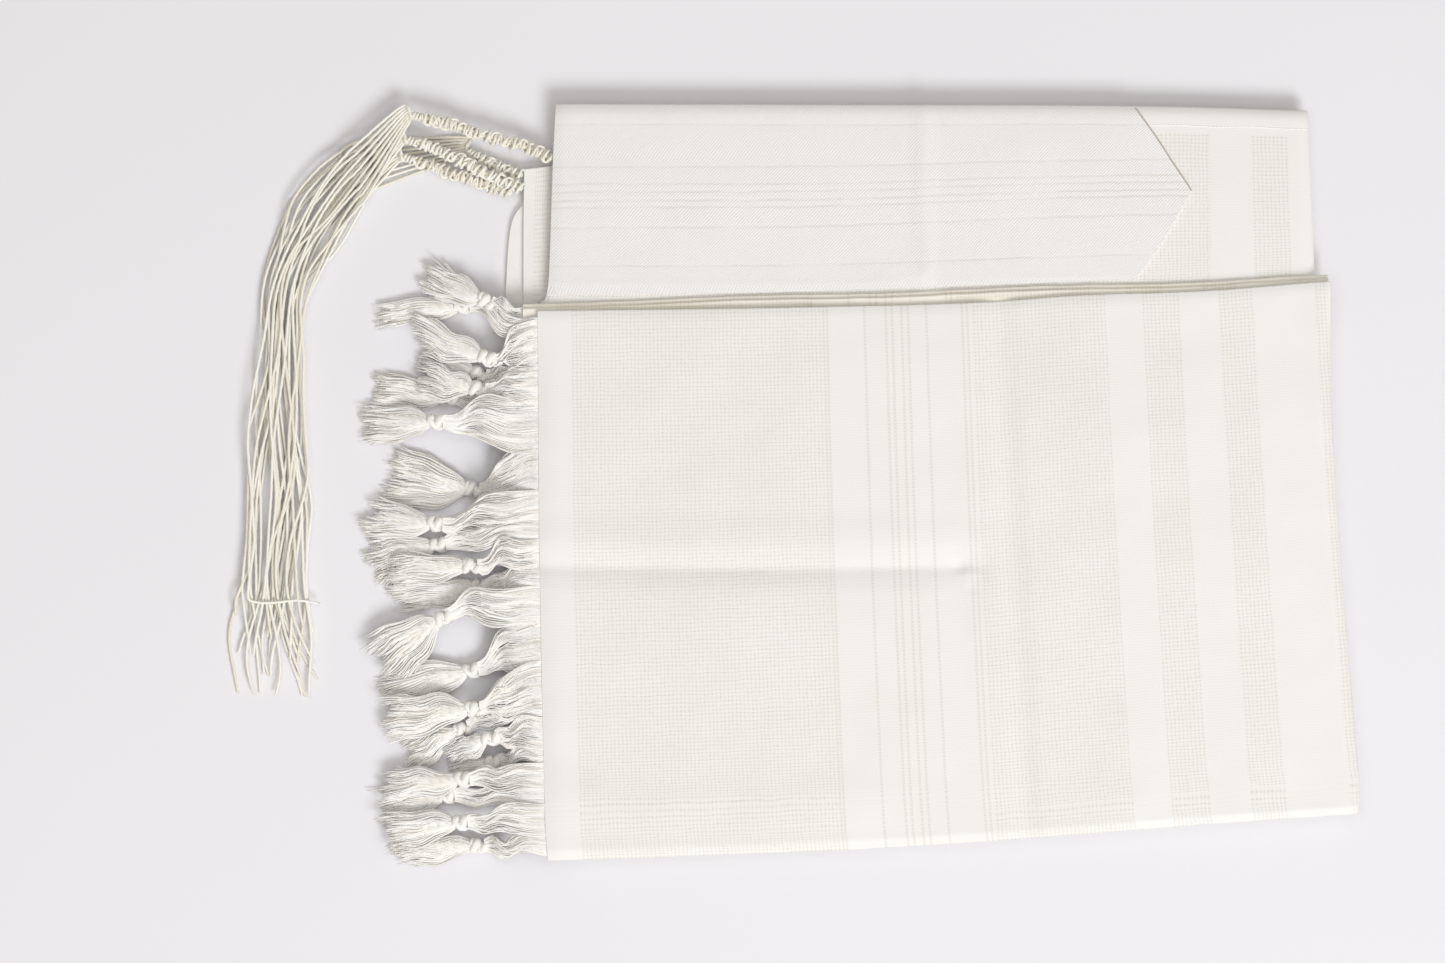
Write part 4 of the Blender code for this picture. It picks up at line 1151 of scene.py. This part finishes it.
def make_studio():
    """The floor, the camera straight above it, a soft lamp from below right and a pale fill."""
    floor_half = 2.5
    corners = [Vector((x * floor_half / MM, y * floor_half / MM, -0.3))
               for x, y in ((-1, -1), (1, -1), (1, 1), (-1, 1))]
    floor = new_piece("floor", corners, [(0, 1, 2, 3)], make_floor_finish())
    view_height = 3.5
    cloth_height = 0.015
    frame_width = 0.7514
    camera = bpy.data.cameras.new("camera_above")
    camera.sensor_width = 36.0
    camera.lens = camera.sensor_width * (view_height - cloth_height) / frame_width
    camera.clip_start = 0.1
    camera.clip_end = 20.0
    holder = bpy.data.objects.new("camera_above", camera)
    holder.location = (-0.1157, 0.0005, view_height)
    scene.collection.objects.link(holder)
    scene.camera = holder
    lit_from("window", (1.35, -2.7, 3.3), (-0.05, 0.0, 0.0), 2.0, 118.0, (0.965, 0.98, 1.0))
    lit_from("ceiling", (-0.1, 0.1, 2.9), (-0.1, 0.0, 0.0), 2.4, 20.0, (0.985, 0.985, 1.0))
    world = bpy.data.worlds.new("pale_room")
    world.use_nodes = True
    backdrop = world.node_tree.nodes["Background"]
    backdrop.inputs["Color"].default_value = (1.0, 0.955, 0.9, 1.0)
    backdrop.inputs["Strength"].default_value = 0.4
    scene.world = world
    scene.view_settings.view_transform = "Standard"


def main():
    """Dress every node of the part."""
    make_studio()
    cloth = make_shawl_cloth("woven_ivory_wool", "#f2f0ed", "#dfdacf")
    # The lips get a lighter, warmer copy of the cloth: painted warm bounce light in the shade of the folds under
    # the front panel's edge
    lips_cloth_painted_bounce_light = make_shawl_cloth("woven_ivory_wool_painted_bounce_light", "#f7f2e6", "#e6dfcd")
    twill = make_twill_cloth()
    yarn = make_yarn("spun_white_cotton", "#fffefa", "#f5efe3", 900.0)
    string = make_yarn("plied_cream_wool", "#fffcf3", "#f0e8d4", 1400.0)
    trees = {
        "thread": yarn_tree("fringe_thread", 0, yarn),
        "lock": yarn_tree("fringe_lock", 7, yarn),
        "string": yarn_tree("plied_string", 3, string),
    }
    sheets = [
        (make_stack(cloth), ("folded_stack",), (0.42, 0.393), ["floor"]),
        (make_front_panel(cloth), ("front_panel",), (0.416, 0.288), ["folded_layers"]),
        (make_upper_panel(cloth), ("upper_panel",), (0.396, 0.111), ["folded_layers"]),
        (make_lip("lower_lip", 0.0, 13.75, 15.55, 1.0, lips_cloth_painted_bounce_light),
         ("fold_lip_lower",), (0.42, 0.0105), ["folded_layers"]),
        (make_lip("upper_lip", 2.2, 15.85, 17.4, 7.0, lips_cloth_painted_bounce_light),
         ("fold_lip_upper",), (0.42, 0.0105), ["lower_lip"]),
        (make_corner_layer("lowest_corner", 151.5, ((-218.6, 146.9), (-226.2, 132.6), (-229.3, 90.0)),
                           (-203.4, -206.9), 0.0, 3.0, 296.0, cloth),
         ("corner_layer_lower",), (0.021, 0.058), ["floor"]),
        (make_corner_layer("middle_corner", 165.1, ((-219.0, 163.1), (-219.4, 130.0), (-219.4, 90.0)),
                           (-203.2, -207.4), 3.3, 2.6, 304.4, cloth),
         ("corner_layer_middle",), (0.0145, 0.074), ["lowest_corner"]),
        (make_atarah(twill), ("atarah",), (0.314, 0.096), ["upper_panel_cloth"]),
    ]
    seam_thread = make_yarn("brown_seam_cotton", "#c9c0b0", "#b9ae9b", 900.0)
    pieces = [(make_hem_stitches(stitch_tree("sewn_line", yarn), yarn), (), "fringe_yarn"),
              (make_point_seam(yarn_tree("seam_thread", 0, seam_thread), seam_thread), (), "twill_band")]
    for number, row in enumerate(TASSELS, 1):
        tassel = make_tassel(number, row, trees, yarn)
        pieces.append((tassel, (f"fringe_tassel_{number:02d}",), "fringe_yarn"))
    for layer, (name, route) in enumerate(STEMS.items()):
        stem = make_stem(name, route, trees, string)
        strings = make_strings(name, route, layer, trees, string)
        pieces.append((stem, (f"{name}_stem",), "tzitzit_string"))
        pieces.append((strings, (f"{name}_strings",), "tzitzit_string"))
    for piece, nodes, slot in pieces:
        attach(piece, "root")
        if nodes:
            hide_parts(*nodes)
    for piece, nodes, flat, below in sheets:
        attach(piece, "root")
        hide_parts(*nodes)
        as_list(below)


main()
